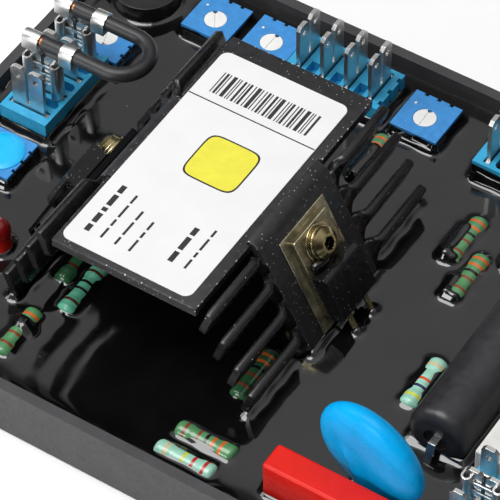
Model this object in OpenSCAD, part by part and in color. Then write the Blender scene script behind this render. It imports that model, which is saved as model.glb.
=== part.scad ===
// Potted automatic voltage regulator: a shallow plastic tray filled with resin, which holds a
// circuit board, a louvred sheet heat sink with two power devices, terminal blocks and trimmers.
// The origin is the middle of the tray's underside, +X runs along the tray, +Z is up.

/* [Tray] */
// Tray length along X
tray_l = 150; // [148:0.5:170]
// Tray width along Y
tray_w = 102.5; // [101:0.5:120]
// Tray height to the rim
tray_h = 11.5; // [10:0.1:16]
// Wall and floor thickness
tray_wall = 2; // [1.4:0.1:2.4]
// Distance of a fixing hole from the tray's sides
hole_in = 4; // [3.9:0.1:4.2]
// Fixing hole diameter
hole_d = 4.3; // [3.2:0.1:4.6]
// Diameter of the boss round a fixing hole
boss_d = 6.8; // [6.4:0.1:7.2]

/* [Board and resin] */
// Height of the pegs under the board
peg_h = 1.4; // [0.8:0.1:2]
// Peg diameter
peg_d = 5; // [3:0.5:8]
// Board thickness
board_t = 1.6; // [1:0.1:2.4]
// Room between the board's edge and the tray wall
board_room = 1.5; // [1:0.1:2.5]
// Resin depth over the board
resin_over = 3; // [2.4:0.1:3.2]

/* [Heat sink] */
// Plate width between its free edges
sink_w = 28.5; // [27.5:0.1:29]
// Plate length
sink_l = 55; // [50:0.5:57]
// Plate height over the board
sink_h = 24; // [23.8:0.1:26]
// Sheet thickness
sink_t = 1.8; // [1.2:0.1:2]
// Outside bend radius between plate and flap
bend_r = 3; // [2.4:0.1:3.4]
// Lean of the flaps from upright, degrees
flap_lean = 27; // [24:0.5:29]
// Flap width along the plate
flap_w = 21.4; // [21:0.1:22.4]
// Width of a twisted strip
strip_w = 5.5; // [4.5:0.1:5.7]
// Spacing of the strips down the flap
strip_pitch = 5.8; // [5.7:0.05:5.9]
// Twist of the strips out of the flap, degrees
strip_twist = 46; // [30:1:48]
// Length over which a strip twists
twist_l = 3; // [2:0.1:5]
// Label length
label_l = 50; // [30:0.5:51]
// Label width
label_w = 25.6; // [15:0.1:26]

/* [Power devices] */
// Tab width
tab_w = 10.2; // [9:0.1:10.6]
// Tab thickness
tab_t = 1.3; // [1:0.1:1.4]
// Moulded body thickness over the tab
body_t = 3.2; // [2.8:0.1:3.6]
// Moulded body length
body_l = 9.3; // [8.6:0.1:9.6]
// Insulating pad width
pad_w = 13.5; // [11:0.1:14]
// Insulating pad thickness
pad_t = 0.3; // [0.2:0.05:0.4]
// Spacing of the two legs
leg_pitch = 5.08; // [4.4:0.02:5.6]
// Screw thread diameter
screw_d = 2.9; // [2.4:0.1:3]
// Screw head diameter
head_d = 5.6; // [5:0.1:6]

/* [Terminals] */
// Spacing of the blades along a block
blade_pitch = 5; // [4.8:0.02:5.08]
// Terminal block width
block_w = 9.9; // [9.4:0.1:10.2]
// Terminal block height over the board
block_h = 7.2; // [6.8:0.1:9]
// Width of a double blade
blade_w = 6.8; // [6:0.1:7]
// Blade sheet thickness
blade_t = 0.8; // [0.5:0.05:1]
// Blade height over the block
blade_h = 9.4; // [8.8:0.1:11]
// Link wire diameter over its insulation
wire_d = 2.8; // [2.2:0.1:3]
// Link wire core diameter
core_d = 1.8; // [1.2:0.1:2]

/* [Trimmers] */
// Side of a trimmer's square case
trim_w = 9.53; // [9:0.01:9.8]
// Case height over the board
trim_h = 5.6; // [5.2:0.1:7]
// Rotor diameter
rotor_d = 4.2; // [3.6:0.1:5]
// Running clearance all round a rotor
rotor_gap = 0.05; // [0.02:0.01:0.09]

/* [Small components] */
// Resistor length
res_l = 11.6; // [10:0.1:11.8]
// Resistor end diameter
res_d = 3.8; // [3.4:0.1:4]
// Film capacitor length
film_l = 26.5; // [20:0.5:27]
// Film capacitor thickness
film_w = 5.3; // [4.5:0.1:5.6]
// Film capacitor height over the board
film_h = 11; // [9:0.1:12]
// Disc diameter
disc_d = 21; // [16:0.5:21.5]
// Disc thickness
disc_t = 5; // [4:0.1:6]
// Axial capacitor diameter
axial_d = 11.4; // [10:0.1:12]
// Axial capacitor length
axial_l = 35; // [25:0.5:40]
// Ceramic block width
block_c_w = 9.5; // [8:0.1:10]
// Ceramic block length
block_c_l = 22.3; // [18:0.1:22.5]
// Ceramic block height over the board
block_c_h = 9; // [7:0.1:11]
// Round can diameter
can_d = 13; // [11:0.1:13.4]
// Round can height over the board
can_h = 6.6; // [6:0.1:9]
// Lamp diameter
lamp_d = 5; // [4:0.1:5.2]
// Lamp height over the board
lamp_h = 9.3; // [7:0.1:11]

/* [Hidden] */
$fn = 48;
floor_z = tray_wall;
board_z = floor_z + peg_h;
seat_z = board_z + board_t;
resin_z = seat_z + resin_over;
block_z = seat_z + block_h;
trim_z = seat_z + trim_h;
plate_z = seat_z + sink_h;
hole_x = tray_l / 2 - hole_in;
hole_y = tray_w / 2 - hole_in;
board_l = tray_l - 2 * tray_wall - 2 * board_room;
board_w = tray_w - 2 * tray_wall - 2 * board_room;
corner_cut = board_l / 2 - hole_x + boss_d / 2 + 0.6;
tiny = 0.01;

// places on the board: X from the tray's left side, Y from its far side, its near side or its middle
sink_in = [55.3, -4.2];
trim_in = [[26.1, 10.75], [37.8, 10.2], [70.83, 11.35], [12.3, 25.45], [11.9, 58.6]];
block_left_in = [11.05, 40.75];
block_far_in = [53.4, 11.1];
block_right_in = [93.6, 12.45];
block_low_in = [123.5, 18.35];
res_mid_in = [
    [36.8, -37.65], [40.8, -24], [36.6, -18.9], [75.75, -24], [100.5, -10.25], [90.4, 20.5], [95, 13.4]
];
res_near_in = [[76.5, 11.45], [75.7, 6.35]];
res_far_in = [66.2, 22.95];
film_in = [90.1, 7.15];
disc_in = [105.25, 16.5];
axial_in = [109.3, 29.65];
ceramic_in = [117, 29.25];
can_in = [11.1, 11.35];
lamp_in = [[22.8, -23.55], [100.3, 20.4]];

function from_far(p) = [p[0] - tray_l / 2, tray_w / 2 - p[1]];
function from_near(p) = [p[0] - tray_l / 2, p[1] - tray_w / 2];
function from_middle(p) = [p[0] - tray_l / 2, p[1]];

sink_at = from_middle(sink_in);
trim_at = [for (p = trim_in) from_far(p)];
block_left_at = from_far(block_left_in);
block_far_at = from_far(block_far_in);
block_right_at = from_far(block_right_in);
block_low_at = from_near(block_low_in);
res_at = concat(
    [for (p = res_mid_in) from_middle(p)], [for (p = res_near_in) from_near(p)], [from_far(res_far_in)]
);
film_at = from_near(film_in);
disc_at = from_near(disc_in);
axial_at = from_near(axial_in);
ceramic_at = from_near(ceramic_in);
can_at = from_far(can_in);
lamp_at = [for (p = lamp_in) from_middle(p)];

// trimmers by the left side and resistors by the near side are turned
function trim_turn(i) = i < 3 ? 0 : -90;
function res_turn(i) = i == 7 || i == 8 ? 90 : 0;
far_turn = -90;

// flap frame: X out of the flap, Y along the plate, Z up the slope, origin where the bend ends
bend_x = sink_w / 2 - 0.7;
flap_x = bend_x + bend_r * cos(flap_lean);
flap_z = plate_z - bend_r + bend_r * sin(flap_lean);
bend_steps = 8;
strip_first = 0.8;
strip_out = -0.5;
strip_n = 4;
root_in = 0.8;
label_off = [-0.7, -1.2];
label_t = 0.15;
label_r = 1.6;

// device frame: origin on the flap at the screw, X out of the flap, Z towards the tab's end
tab_end = 3.7;
tab_c = 0.3;
tab_in = 1;
body_top = -3.9;
body_end = body_top - body_l;
pad_top = 4.9;
pad_low_up = 15.3;
hole_room = 0.3;
washer_t = 0.4;
washer_d = 7;
spring_t = 0.6;
spring_d = 5.9;
spring_cut = 0.5;
head_h = 1.5;
head_side = 0.7;
head_top = 3.4;
socket_w = 2.3;
socket_d = 1.2;
nut_t = 2.4;
nut_d = 6.2;
thread_over = 0.8;
notch_d = 8.6;
washer_x = pad_t + tab_t;
head_x = washer_x + washer_t + spring_t;
leg_t = 0.6;
leg_x = pad_t + 2.7;
up_at = [0.15, -6.2];
lying_at = [2.7, -12.9];
pad_low_lying = lying_at[0] + flap_w / 2 - root_in - hole_room;

// blades and receptacles, in a block's own frame
positions = 4;
block_l = positions * blade_pitch - 0.2;
slot_l = 8.4;
slot_t = blade_t + 0.5;
slot_d = 1.2;
slot_room = 0.15;
foot_in = 0.4;
seat_d = 2;
prong_gap = 0.7;
prong_cut = 0.7;
latch_d = 1.2;
pocket_w = 1.9;
pocket_d = 2.2;
grip = 0.05;
sheet = 0.4;
curl_r = 1.3;
curl_turn = 215;
recep_up = 0.3;
recep_h = 8;
crimp_up = 12.1;
crimp_z = block_z + crimp_up;
crimp_r = wire_d / 2 + 0.45;
core_r = core_d / 2 + 0.6;
cover_x = 0.3;
turn_x = 13.45;
insul_x = 4;
insul_l = 4.2;
core_l = 3.2;
recep_w = blade_w / 2 + grip + sheet;
recep_y = -blade_t / 2 - grip - sheet;
recep_z = block_z + recep_up;
curl_y = blade_t / 2 + grip + curl_r * 0.6;

// trimmer rotor under its lip
rotor_t = 1.4;
lip_t = 0.8;
foot_d = rotor_d + 1;
rotor_off = 0.5;
slot_rotor = 0.3;
dimple_at = [-3.3, 1.9];

// moulded caps of the resistors
cap_l = 2.8;
res_step = 0.35;

// stand and wires of the disc
disc_turn = 9;
disc_lean = 5;
disc_up = 0.7;
disc_pitch = 7.5;
disc_wire_d = 0.8;
disc_wire_in = 2.3;

// rolled ends of the axial capacitor and its flat leads
axial_r = 2.2;
dip_d = 4.4;
dip = 0.6;
ribbon_w = 1.4;
ribbon_t = 0.5;
ribbon_flat = 1;
ribbon_out = 4.4;

// upright slab with round corners
module round_slab(l, w, h, r) {
    translate([-l / 2 + r, -w / 2, 0]) cube([l - 2 * r, w, h]);
    translate([-l / 2, -w / 2 + r, 0]) cube([l, w - 2 * r, h]);
    for (sx = [-1, 1], sy = [-1, 1]) {
        translate([sx * (l / 2 - r), sy * (w / 2 - r), 0]) cylinder(h = h, r = r);
    }
}

module at_corners() {
    for (sx = [-1, 1], sy = [-1, 1]) translate([sx * hole_x, sy * hole_y, 0]) children();
}

module pegs(h) {
    for (sx = [-1, 0, 1], sy = [-1, 1]) translate([sx * tray_l * 0.4, sy * tray_w * 0.38, floor_z]) cylinder(h = h, d = peg_d);
}

module tray() {
    color([0.13, 0.13, 0.14]) difference() {
        union() {
            difference() {
                round_slab(tray_l, tray_w, tray_h, hole_in);
                translate([0, 0, floor_z]) round_slab(tray_l - 2 * tray_wall, tray_w - 2 * tray_wall, tray_h, hole_in - tray_wall);
            }
            at_corners() cylinder(h = tray_h, d = boss_d);
            pegs(peg_h);
        }
        at_corners() translate([0, 0, -1]) cylinder(h = tray_h + 2, d = hole_d);
    }
}

module board_solid() {
    difference() {
        translate([-board_l / 2, -board_w / 2, board_z]) cube([board_l, board_w, board_t]);
        for (sx = [-1, 1], sy = [-1, 1]) {
            translate([sx * board_l / 2 - corner_cut, sy * board_w / 2 - corner_cut, board_z - 1])
                cube([2 * corner_cut, 2 * corner_cut, board_t + 2]);
        }
    }
}

module circuit_board() {
    color([0.10, 0.32, 0.16]) board_solid();
}

// everything that stands in the resin, as far as it is wetted
module wetted() {
    board_solid();
    pegs(peg_h);
    at_corners() cylinder(h = tray_h, d = boss_d);
    sink_feet();
    leg_bars();
    for (b = [block_left_at, block_low_at]) block_case(b, 0);
    for (b = [block_far_at, block_right_at]) block_case(b, far_turn);
    for (i = [0:len(trim_at) - 1]) trim_case(i);
    for (i = [0:len(res_at) - 1]) resistor_solid(i);
    film_solid();
    disc_wires();
    axial_solid();
    axial_ribbons();
    ceramic_solid();
    can_solid();
    for (l = lamp_at) lamp_solid(l);
}

module potting_resin() {
    color([0.06, 0.06, 0.065]) difference() {
        translate([0, 0, floor_z])
            round_slab(tray_l - 2 * tray_wall, tray_w - 2 * tray_wall, resin_z - floor_z, hole_in - tray_wall);
        wetted();
    }
}

// one of the heat sink's two sides: 1 is +X, -1 is -X
module sink_side(s) {
    translate([sink_at[0], sink_at[1], 0]) {
        if (s > 0) {
            children();
        } else {
            mirror([1, 0, 0]) children();
        }
    }
}

module on_flap() {
    translate([flap_x, 0, flap_z]) rotate([0, -flap_lean, 0]) children();
}

// points of the bend's arc in the XZ plane, from one angle to another
function bend_arc(r, from, to) = [
    for (k = [0:bend_steps]) let (a = from + (to - from) * k / bend_steps)
        [bend_x + r * cos(a), plate_z - bend_r + r * sin(a)]
];

// where a line down the slope from the bend at this radius meets the board
function foot(r) = [
    bend_x + r * cos(flap_lean) + (plate_z - bend_r + r * sin(flap_lean) - seat_z) * tan(flap_lean), seat_z
];

// one flap with its bend, folded out of the sheet
module flap() {
    translate([0, flap_w / 2, 0]) rotate([90, 0, 0]) linear_extrude(height = flap_w) polygon(concat(
        bend_arc(bend_r, 90, flap_lean), [foot(bend_r), foot(bend_r - sink_t)], bend_arc(bend_r - sink_t, flap_lean, 90)
    ));
}

module below_board() {
    translate([-tray_l, -tray_w, seat_z - 30]) cube([2 * tray_l, 2 * tray_w, 30]);
}

module sink_feet() {
    for (s = [-1, 1]) sink_side(s) flap();
}

// a strip of the flap, turned by the given angle over the given stretch of Y
module strip_piece(i, angle, y0, y1, w) {
    on_flap() translate([strip_out, y0, -strip_first - i * strip_pitch]) rotate([0, angle, 0])
        translate([-sink_t / 2, 0, -w / 2]) cube([sink_t, y1 - y0, w]);
}

module strips() {
    y0 = flap_w / 2;
    y1 = sink_l / 2;
    for (i = [0:strip_n - 1]) {
        strip_piece(i, strip_twist, y0 + twist_l * 0.6, y1, strip_w);
        strip_piece(i, strip_twist * 0.5, y0 - root_in, y0 + twist_l * 0.6 + 0.3, strip_w - 1.6);
    }
}

module heat_sink() {
    color([0.14, 0.14, 0.15]) difference() {
        union() {
            translate([sink_at[0] - bend_x, sink_at[1] - sink_l / 2, plate_z - sink_t]) cube([2 * bend_x, sink_l, sink_t]);
            for (s = [-1, 1]) sink_side(s) {
                translate([bend_x, flap_w / 2 + 0.6, plate_z - sink_t])
                    cube([sink_w / 2 - bend_x, sink_l / 2 - flap_w / 2 - 0.6, sink_t]);
                translate([bend_x, -sink_l / 2, plate_z - sink_t])
                    cube([sink_w / 2 - bend_x, sink_l / 2 - flap_w / 2 - 0.6, sink_t]);
                flap();
                strips();
                mirror([0, 1, 0]) strips();
            }
        }
        device_sides() rotate([0, 90, 0]) cylinder(h = 12, d = screw_d + hole_room, center = true);
    }
}

module sink_label() {
    color([0.93, 0.93, 0.92]) translate([sink_at[0] + label_off[0], sink_at[1] + label_off[1], plate_z])
        round_slab(label_w, label_l, label_t, label_r);
}

// the upright device on the +X flap
module upright_side() {
    sink_side(1) on_flap() translate([0, up_at[0], up_at[1]]) children();
}

// the device that lies along the -X flap, its tab towards +Y
module lying_side() {
    sink_side(-1) on_flap() translate([0, lying_at[0], lying_at[1]]) rotate([-90, 0, 0]) children();
}

module device_sides() {
    upright_side() children();
    lying_side() children();
}

module pad_shape(low) {
    difference() {
        translate([0, -pad_w / 2, -low]) cube([pad_t, pad_w, low + pad_top]);
        translate([-1, 0, 0]) rotate([0, 90, 0]) cylinder(h = 3, d = screw_d + hole_room);
    }
}

module device_pads() {
    color([0.52, 0.45, 0.27]) {
        upright_side() pad_shape(pad_low_up);
        lying_side() pad_shape(pad_low_lying);
    }
}

module device_tabs() {
    c = tab_c;
    color([0.72, 0.66, 0.46]) device_sides() difference() {
        translate([pad_t, 0, 0]) rotate([90, 0, 90]) linear_extrude(height = tab_t) polygon([
            [-tab_w / 2, body_end + tab_in], [tab_w / 2, body_end + tab_in], [tab_w / 2, tab_end - c],
            [tab_w / 2 - c, tab_end], [-tab_w / 2 + c, tab_end], [-tab_w / 2, tab_end - c]
        ]);
        translate([-1, 0, 0]) rotate([0, 90, 0]) cylinder(h = 5, d = screw_d + 0.7);
    }
}

module device_bodies() {
    x0 = pad_t + tab_t;
    x1 = x0 + body_t;
    c = 0.7;
    color([0.05, 0.05, 0.055]) device_sides() difference() {
        translate([0, tab_w / 2, 0]) rotate([90, 0, 0]) linear_extrude(height = tab_w) polygon([
            [x0, body_top], [x1 - c, body_top], [x1, body_top - c], [x1, body_end + c], [x1 - c, body_end], [x0, body_end]
        ]);
        translate([-1, 0, 0]) rotate([0, 90, 0]) cylinder(h = 9, d = notch_d);
    }
}

// flat legs: straight down the slope on one side, bent round the flap's edge on the other
module leg_bars() {
    difference() {
        union() {
            for (k = [-1, 1]) upright_side() translate([leg_x, k * leg_pitch / 2 - 0.45, body_end - 12]) cube([leg_t, 0.9, 12]);
            for (k = [-1, 1]) sink_side(-1) on_flap() translate([leg_x, lying_at[0] + body_end, lying_at[1] + k * leg_pitch / 2 - 0.45]) {
                out = k > 0 ? 3.3 : 1.6;
                translate([0, -out, 0]) cube([leg_t, out, 0.9]);
                translate([0, -out, -20]) cube([leg_t, 0.9, 20 + 0.9]);
            }
        }
        below_board();
    }
}

module device_legs() {
    color([0.70, 0.60, 0.32]) leg_bars();
}

module device_washers() {
    color([0.72, 0.68, 0.52]) device_sides() translate([washer_x, 0, 0]) rotate([0, 90, 0]) difference() {
        cylinder(h = washer_t, d = washer_d);
        translate([0, 0, -1]) cylinder(h = 3, d = screw_d + hole_room);
    }
}

module device_spring_washers() {
    color([0.62, 0.60, 0.54]) device_sides() translate([washer_x + washer_t, 0, 0]) rotate([0, 90, 0]) difference() {
        cylinder(h = spring_t, d = spring_d);
        translate([0, 0, -1]) cylinder(h = 3, d = screw_d + hole_room);
        rotate([0, 0, 30]) translate([0, -spring_cut / 2, -1]) cube([spring_d, spring_cut, spring_t + 2]);
    }
}

// screw with a hexagon socket in its head
module device_screws() {
    color([0.75, 0.66, 0.38]) device_sides() rotate([0, 90, 0]) difference() {
        union() {
            translate([0, 0, -sink_t - nut_t - thread_over]) cylinder(h = head_x + sink_t + nut_t + thread_over + tiny, d = screw_d);
            translate([0, 0, head_x]) cylinder(h = head_side, d = head_d);
            translate([0, 0, head_x + head_side]) cylinder(h = head_h - head_side, d1 = head_d, d2 = head_top);
        }
        translate([0, 0, head_x + head_h - socket_d]) cylinder(h = socket_d + 1, d = socket_w / cos(30), $fn = 6);
    }
}

module device_nuts() {
    color([0.72, 0.72, 0.70]) device_sides() translate([-sink_t - nut_t, 0, 0]) rotate([0, 90, 0]) difference() {
        cylinder(h = nut_t, d = nut_d, $fn = 6);
        translate([0, 0, -1]) cylinder(h = nut_t + 2, d = screw_d);
    }
}

// a block's own frame: blades lie along X and stand in a row along Y
module in_block(b, turn) {
    translate([b[0], b[1], 0]) rotate([0, 0, turn]) children();
}

module at_blades() {
    for (i = [0:positions - 1]) translate([0, (i - (positions - 1) / 2) * blade_pitch, 0]) children();
}

module block_case(b, turn) {
    in_block(b, turn) translate([-block_w / 2, -block_l / 2, seat_z]) cube([block_w, block_l, block_h]);
}

// a pocket with a round end, between two blades
module pocket() {
    translate([0.9, -pocket_w / 2, block_z - pocket_d]) cube([2.4, pocket_w, pocket_d + 1]);
    translate([3.3, 0, block_z - pocket_d]) cylinder(h = pocket_d + 1, d = pocket_w);
}

module terminal_block(b, turn) {
    color([0.16, 0.58, 0.76]) difference() {
        block_case(b, turn);
        in_block(b, turn) {
            at_blades() {
                translate([-slot_l / 2, -slot_t / 2, block_z - slot_d]) cube([slot_l, slot_t, slot_d + 1]);
                translate([-blade_w / 2, -blade_t / 2, block_z - slot_d - seat_d]) cube([blade_w, blade_t, seat_d + 1]);
            }
            for (i = [0:positions - 2]) translate([0, (i - (positions - 2) / 2) * blade_pitch, 0]) pocket();
            for (x = [-3.2, 0, 3.2]) translate([x - 0.5, block_l / 2 - 0.6, resin_z + 0.4]) cube([1, 1.6, block_h]);
        }
    }
}

module block_left() {
    terminal_block(block_left_at, 0);
}

module block_far() {
    terminal_block(block_far_at, far_turn);
}

module block_right() {
    terminal_block(block_right_at, far_turn);
}

module block_low() {
    terminal_block(block_low_at, 0);
}

// a double blade: two prongs on one foot that lies in the slot and is pressed into the block
module blade() {
    w = blade_w / 2;
    f = slot_l / 2 - slot_room;
    g = prong_gap / 2;
    c = prong_cut;
    z0 = block_z - slot_d - seat_d;
    zs = block_z - slot_d;
    zf = block_z - foot_in;
    z1 = block_z + 1;
    z2 = block_z + blade_h;
    m = (w + g) / 2;
    translate([0, blade_t / 2, 0]) rotate([90, 0, 0]) linear_extrude(height = blade_t) difference() {
        polygon([
            [-w, z0], [w, z0], [w, zs], [f, zs], [f, zf], [w, zf], [w, z2 - c], [w - c, z2], [g + c, z2], [g, z2 - c],
            [g, z1], [-g, z1], [-g, z2 - c], [-g - c, z2], [-w + c, z2], [-w, z2 - c], [-w, zf], [-f, zf], [-f, zs], [-w, zs]
        ]);
        for (x = [-m, m]) translate([x, z2 - 2.1]) circle(d = latch_d);
    }
}

module blades(b, turn) {
    color([0.78, 0.78, 0.76]) in_block(b, turn) at_blades() blade();
}

module blades_left() {
    blades(block_left_at, 0);
}

module blades_far() {
    blades(block_far_at, far_turn);
}

module blades_right() {
    blades(block_right_at, far_turn);
}

module blades_low() {
    blades(block_low_at, 0);
}

// push-on receptacle: a back plate with both edges rolled over the blade into open curls
module receptacle_grip() {
    translate([-recep_w, recep_y, recep_z]) cube([2 * recep_w, sheet, recep_h]);
    for (s = [0, 1]) mirror([s, 0, 0]) {
        translate([recep_w - sheet, recep_y, recep_z]) cube([sheet, curl_y - recep_y, recep_h]);
        translate([recep_w - curl_r, curl_y, recep_z]) rotate_extrude(angle = curl_turn)
            translate([curl_r - sheet, 0]) square([sheet, recep_h]);
    }
}

// flag of a receptacle: its plate runs on under the link wire, which two crimps hold along +X
module receptacle_tail() {
    z1 = recep_z + recep_h;
    zf = crimp_z - wire_d / 2;
    flag_l = recep_w + insul_x + insul_l;
    translate([-recep_w, recep_y, z1]) cube([flag_l, sheet, zf - z1]);
    translate([-recep_w, recep_y, z1]) cube([sheet, curl_y - recep_y, zf - z1]);
    difference() {
        union() {
            translate([-recep_w, -wire_d / 2, zf - sheet]) cube([flag_l, wire_d, sheet]);
            translate([-recep_w + sheet, 0, crimp_z]) rotate([0, 90, 0]) cylinder(h = core_l, r = wire_d / 2 + 0.1);
            translate([insul_x, 0, crimp_z]) rotate([0, 90, 0]) cylinder(h = insul_l, r = crimp_r);
        }
        translate([-recep_w - 1, 0, crimp_z]) rotate([0, 90, 0]) cylinder(h = recep_w + 2, d = core_d);
        translate([cover_x, 0, crimp_z]) rotate([0, 90, 0]) cylinder(h = 20, d = wire_d);
    }
}

// place of the receptacle on the given blade of a block
module on_blade(b, i) {
    in_block(b, 0) translate([0, (i - (positions - 1) / 2) * blade_pitch, 0]) children();
}

module receptacle_1() {
    color([0.80, 0.80, 0.78]) on_blade(block_left_at, 1) {
        receptacle_grip();
        receptacle_tail();
    }
}

module receptacle_2() {
    color([0.80, 0.80, 0.78]) on_blade(block_left_at, 3) {
        receptacle_grip();
        receptacle_tail();
    }
}

module receptacle_low() {
    color([0.80, 0.80, 0.78]) on_blade(block_low_at, 2) receptacle_grip();
}

module link_wire() {
    color([0.07, 0.07, 0.075]) {
        for (i = [1, 3]) on_blade(block_left_at, i) translate([cover_x, 0, crimp_z]) rotate([0, 90, 0])
            cylinder(h = turn_x - cover_x + tiny, d = wire_d);
        on_blade(block_left_at, 2) translate([turn_x, 0, crimp_z]) rotate([0, 0, -90]) rotate_extrude(angle = 180)
            translate([blade_pitch, 0]) circle(d = wire_d);
    }
}

module link_cores() {
    color([0.72, 0.42, 0.22]) for (i = [1, 3]) on_blade(block_left_at, i)
        translate([-recep_w, 0, crimp_z]) rotate([0, 90, 0]) cylinder(h = cover_x + recep_w, d = core_d);
}

module in_trimmer(i) {
    translate([trim_at[i][0], trim_at[i][1], 0]) rotate([0, 0, trim_turn(i)]) children();
}

// a rotor's axis stands a little away from the notched side
module on_rotor(i) {
    in_trimmer(i) translate([0, -rotor_off, 0]) children();
}

module trim_case(i) {
    in_trimmer(i) translate([-trim_w / 2, -trim_w / 2, seat_z]) cube([trim_w, trim_w, trim_h]);
}

module trimmer(i) {
    color([0.20, 0.50, 0.85]) difference() {
        trim_case(i);
        on_rotor(i) translate([0, 0, trim_z - rotor_t - rotor_gap]) {
            cylinder(h = 4, d = rotor_d + 2 * rotor_gap);
            cylinder(h = rotor_t - lip_t + 2 * rotor_gap, d = foot_d + 2 * rotor_gap);
        }
        in_trimmer(i) {
            for (x = [-2.54, 0, 2.54]) translate([x - 0.35, trim_w / 2 - 0.5, trim_z - 1.6]) cube([0.7, 2, 4]);
            translate([dimple_at[0], dimple_at[1], trim_z - 0.3]) cylinder(h = 1, d = 0.6);
        }
    }
}

module trimmer_1() {
    trimmer(0);
}

module trimmer_2() {
    trimmer(1);
}

module trimmer_3() {
    trimmer(2);
}

module trimmer_4() {
    trimmer(3);
}

module trimmer_5() {
    trimmer(4);
}

// slotted rotor with a wider foot that stays under the case's lip
module rotor(i, turn) {
    color([0.93, 0.93, 0.91]) on_rotor(i) rotate([0, 0, turn]) difference() {
        union() {
            translate([0, 0, trim_z - rotor_t]) cylinder(h = rotor_t, d = rotor_d);
            translate([0, 0, trim_z - rotor_t]) cylinder(h = rotor_t - lip_t, d = foot_d);
        }
        translate([-rotor_d, -slot_rotor / 2, trim_z - 0.2]) cube([2 * rotor_d, slot_rotor, 2]);
        translate([rotor_d / 2 - 0.45, -0.4, trim_z - 0.7]) cube([2, 0.8, 2]);
    }
}

module rotor_1() {
    rotor(0, 124);
}

module rotor_2() {
    rotor(1, 89);
}

module rotor_3() {
    rotor(2, 92);
}

module rotor_4() {
    rotor(3, 20);
}

module rotor_5() {
    rotor(4, 0);
}

module trimmer_seal() {
    color([0.10, 0.76, 0.98]) in_trimmer(4) translate([0, 0, trim_z]) {
        cylinder(h = 0.2, d = 7);
        translate([0, 0, 0.2]) cylinder(h = 0.15, d1 = 7, d2 = 6);
    }
}

// a moulded resistor: two caps with a slightly thinner waist between them
module resistor_solid(i) {
    r = res_at[i];
    e = cap_l;
    c = 0.5;
    waist_d = res_d - res_step;
    translate([r[0], r[1], seat_z + 0.3 + res_d / 2]) rotate([0, 0, res_turn(i)]) rotate([90, 0, 0]) {
        cylinder(h = res_l - 2, d = waist_d, center = true);
        for (s = [0, 180]) rotate([s, 0, 0]) {
            translate([0, 0, res_l / 2 - e]) cylinder(h = c, d1 = waist_d, d2 = res_d);
            translate([0, 0, res_l / 2 - e + c]) cylinder(h = e - 2 * c, d = res_d);
            translate([0, 0, res_l / 2 - c]) cylinder(h = c, d1 = res_d, d2 = res_d - 1);
        }
    }
}

module dark_resistor(i) {
    color([0.24, 0.48, 0.28]) resistor_solid(i);
}

module light_resistor(i) {
    color([0.45, 0.76, 0.58]) resistor_solid(i);
}

module resistor_1() {
    dark_resistor(0);
}

module resistor_2() {
    light_resistor(1);
}

module resistor_3() {
    dark_resistor(2);
}

module resistor_4() {
    dark_resistor(7);
}

module resistor_5() {
    light_resistor(8);
}

module resistor_6() {
    dark_resistor(3);
}

module resistor_7() {
    light_resistor(4);
}

module resistor_8() {
    dark_resistor(5);
}

module resistor_9() {
    dark_resistor(6);
}

module resistor_10() {
    dark_resistor(9);
}

module film_solid() {
    translate([film_at[0], film_at[1], seat_z]) cube([film_l, film_w, film_h]);
}

module film_capacitor() {
    color([0.85, 0.16, 0.12]) film_solid();
}

// the disc's own frame: turned a little about its upright line
module at_disc(z) {
    translate([disc_at[0], disc_at[1], z]) rotate([0, 0, -disc_turn]) children();
}

module disc_wires() {
    for (k = [-1, 1]) at_disc(seat_z) translate([k * disc_pitch / 2, disc_d / 2 * sin(disc_lean), 0])
        cylinder(h = resin_over + disc_up + disc_wire_in, d = disc_wire_d);
}

// a coated disc with a round rim, leaning a little towards -Y
module disc_varistor() {
    color([0.05, 0.58, 0.86]) difference() {
        at_disc(resin_z + disc_up + disc_d / 2) rotate([90 + disc_lean, 0, 0]) rotate_extrude() {
            translate([0, -disc_t / 2]) square([disc_d / 2 - disc_t / 2, disc_t]);
            intersection() {
                translate([disc_d / 2 - disc_t / 2, 0]) circle(d = disc_t);
                translate([0, -disc_t]) square([disc_d, 2 * disc_t]);
            }
        }
        disc_wires();
    }
}

module varistor_leads() {
    color([0.70, 0.70, 0.68]) disc_wires();
}

module on_axial() {
    translate([axial_at[0], axial_at[1], seat_z + 0.3 + axial_d / 2]) rotate([-90, 0, 0]) children();
}

module axial_solid() {
    on_axial() rotate_extrude() {
        square([axial_d / 2 - axial_r, axial_l]);
        translate([0, axial_r]) square([axial_d / 2, axial_l - 2 * axial_r]);
        for (z = [axial_r, axial_l - axial_r]) translate([axial_d / 2 - axial_r, z]) circle(r = axial_r);
    }
}

// the sleeve is rolled over both ends and leaves a dip round each lead
module axial_capacitor() {
    color([0.08, 0.08, 0.085]) difference() {
        axial_solid();
        on_axial() {
            translate([0, 0, -1]) cylinder(h = dip + 1, d = dip_d);
            translate([0, 0, axial_l - dip]) cylinder(h = dip + 1, d = dip_d);
        }
    }
}

// flat lead out of an end face, bent down to the board
module ribbon() {
    z = seat_z + 0.3 + axial_d / 2;
    t = ribbon_t;
    rotate([90, 0, 90]) translate([0, 0, -ribbon_w / 2]) linear_extrude(height = ribbon_w) polygon([
        [dip, z], [-ribbon_flat, z], [-ribbon_out, seat_z], [-ribbon_out + t, seat_z],
        [-ribbon_flat + t * 0.7, z - t], [dip, z - t]
    ]);
}

module axial_ribbons() {
    translate([axial_at[0], axial_at[1], 0]) ribbon();
    translate([axial_at[0], axial_at[1] + axial_l, 0]) mirror([0, 1, 0]) ribbon();
}

module axial_leads() {
    color([0.80, 0.80, 0.78]) axial_ribbons();
}

module ceramic_solid() {
    translate([ceramic_at[0], ceramic_at[1], seat_z]) cube([block_c_w, block_c_l, block_c_h]);
}

module ceramic_resistor() {
    color([0.92, 0.91, 0.88]) ceramic_solid();
}

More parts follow.
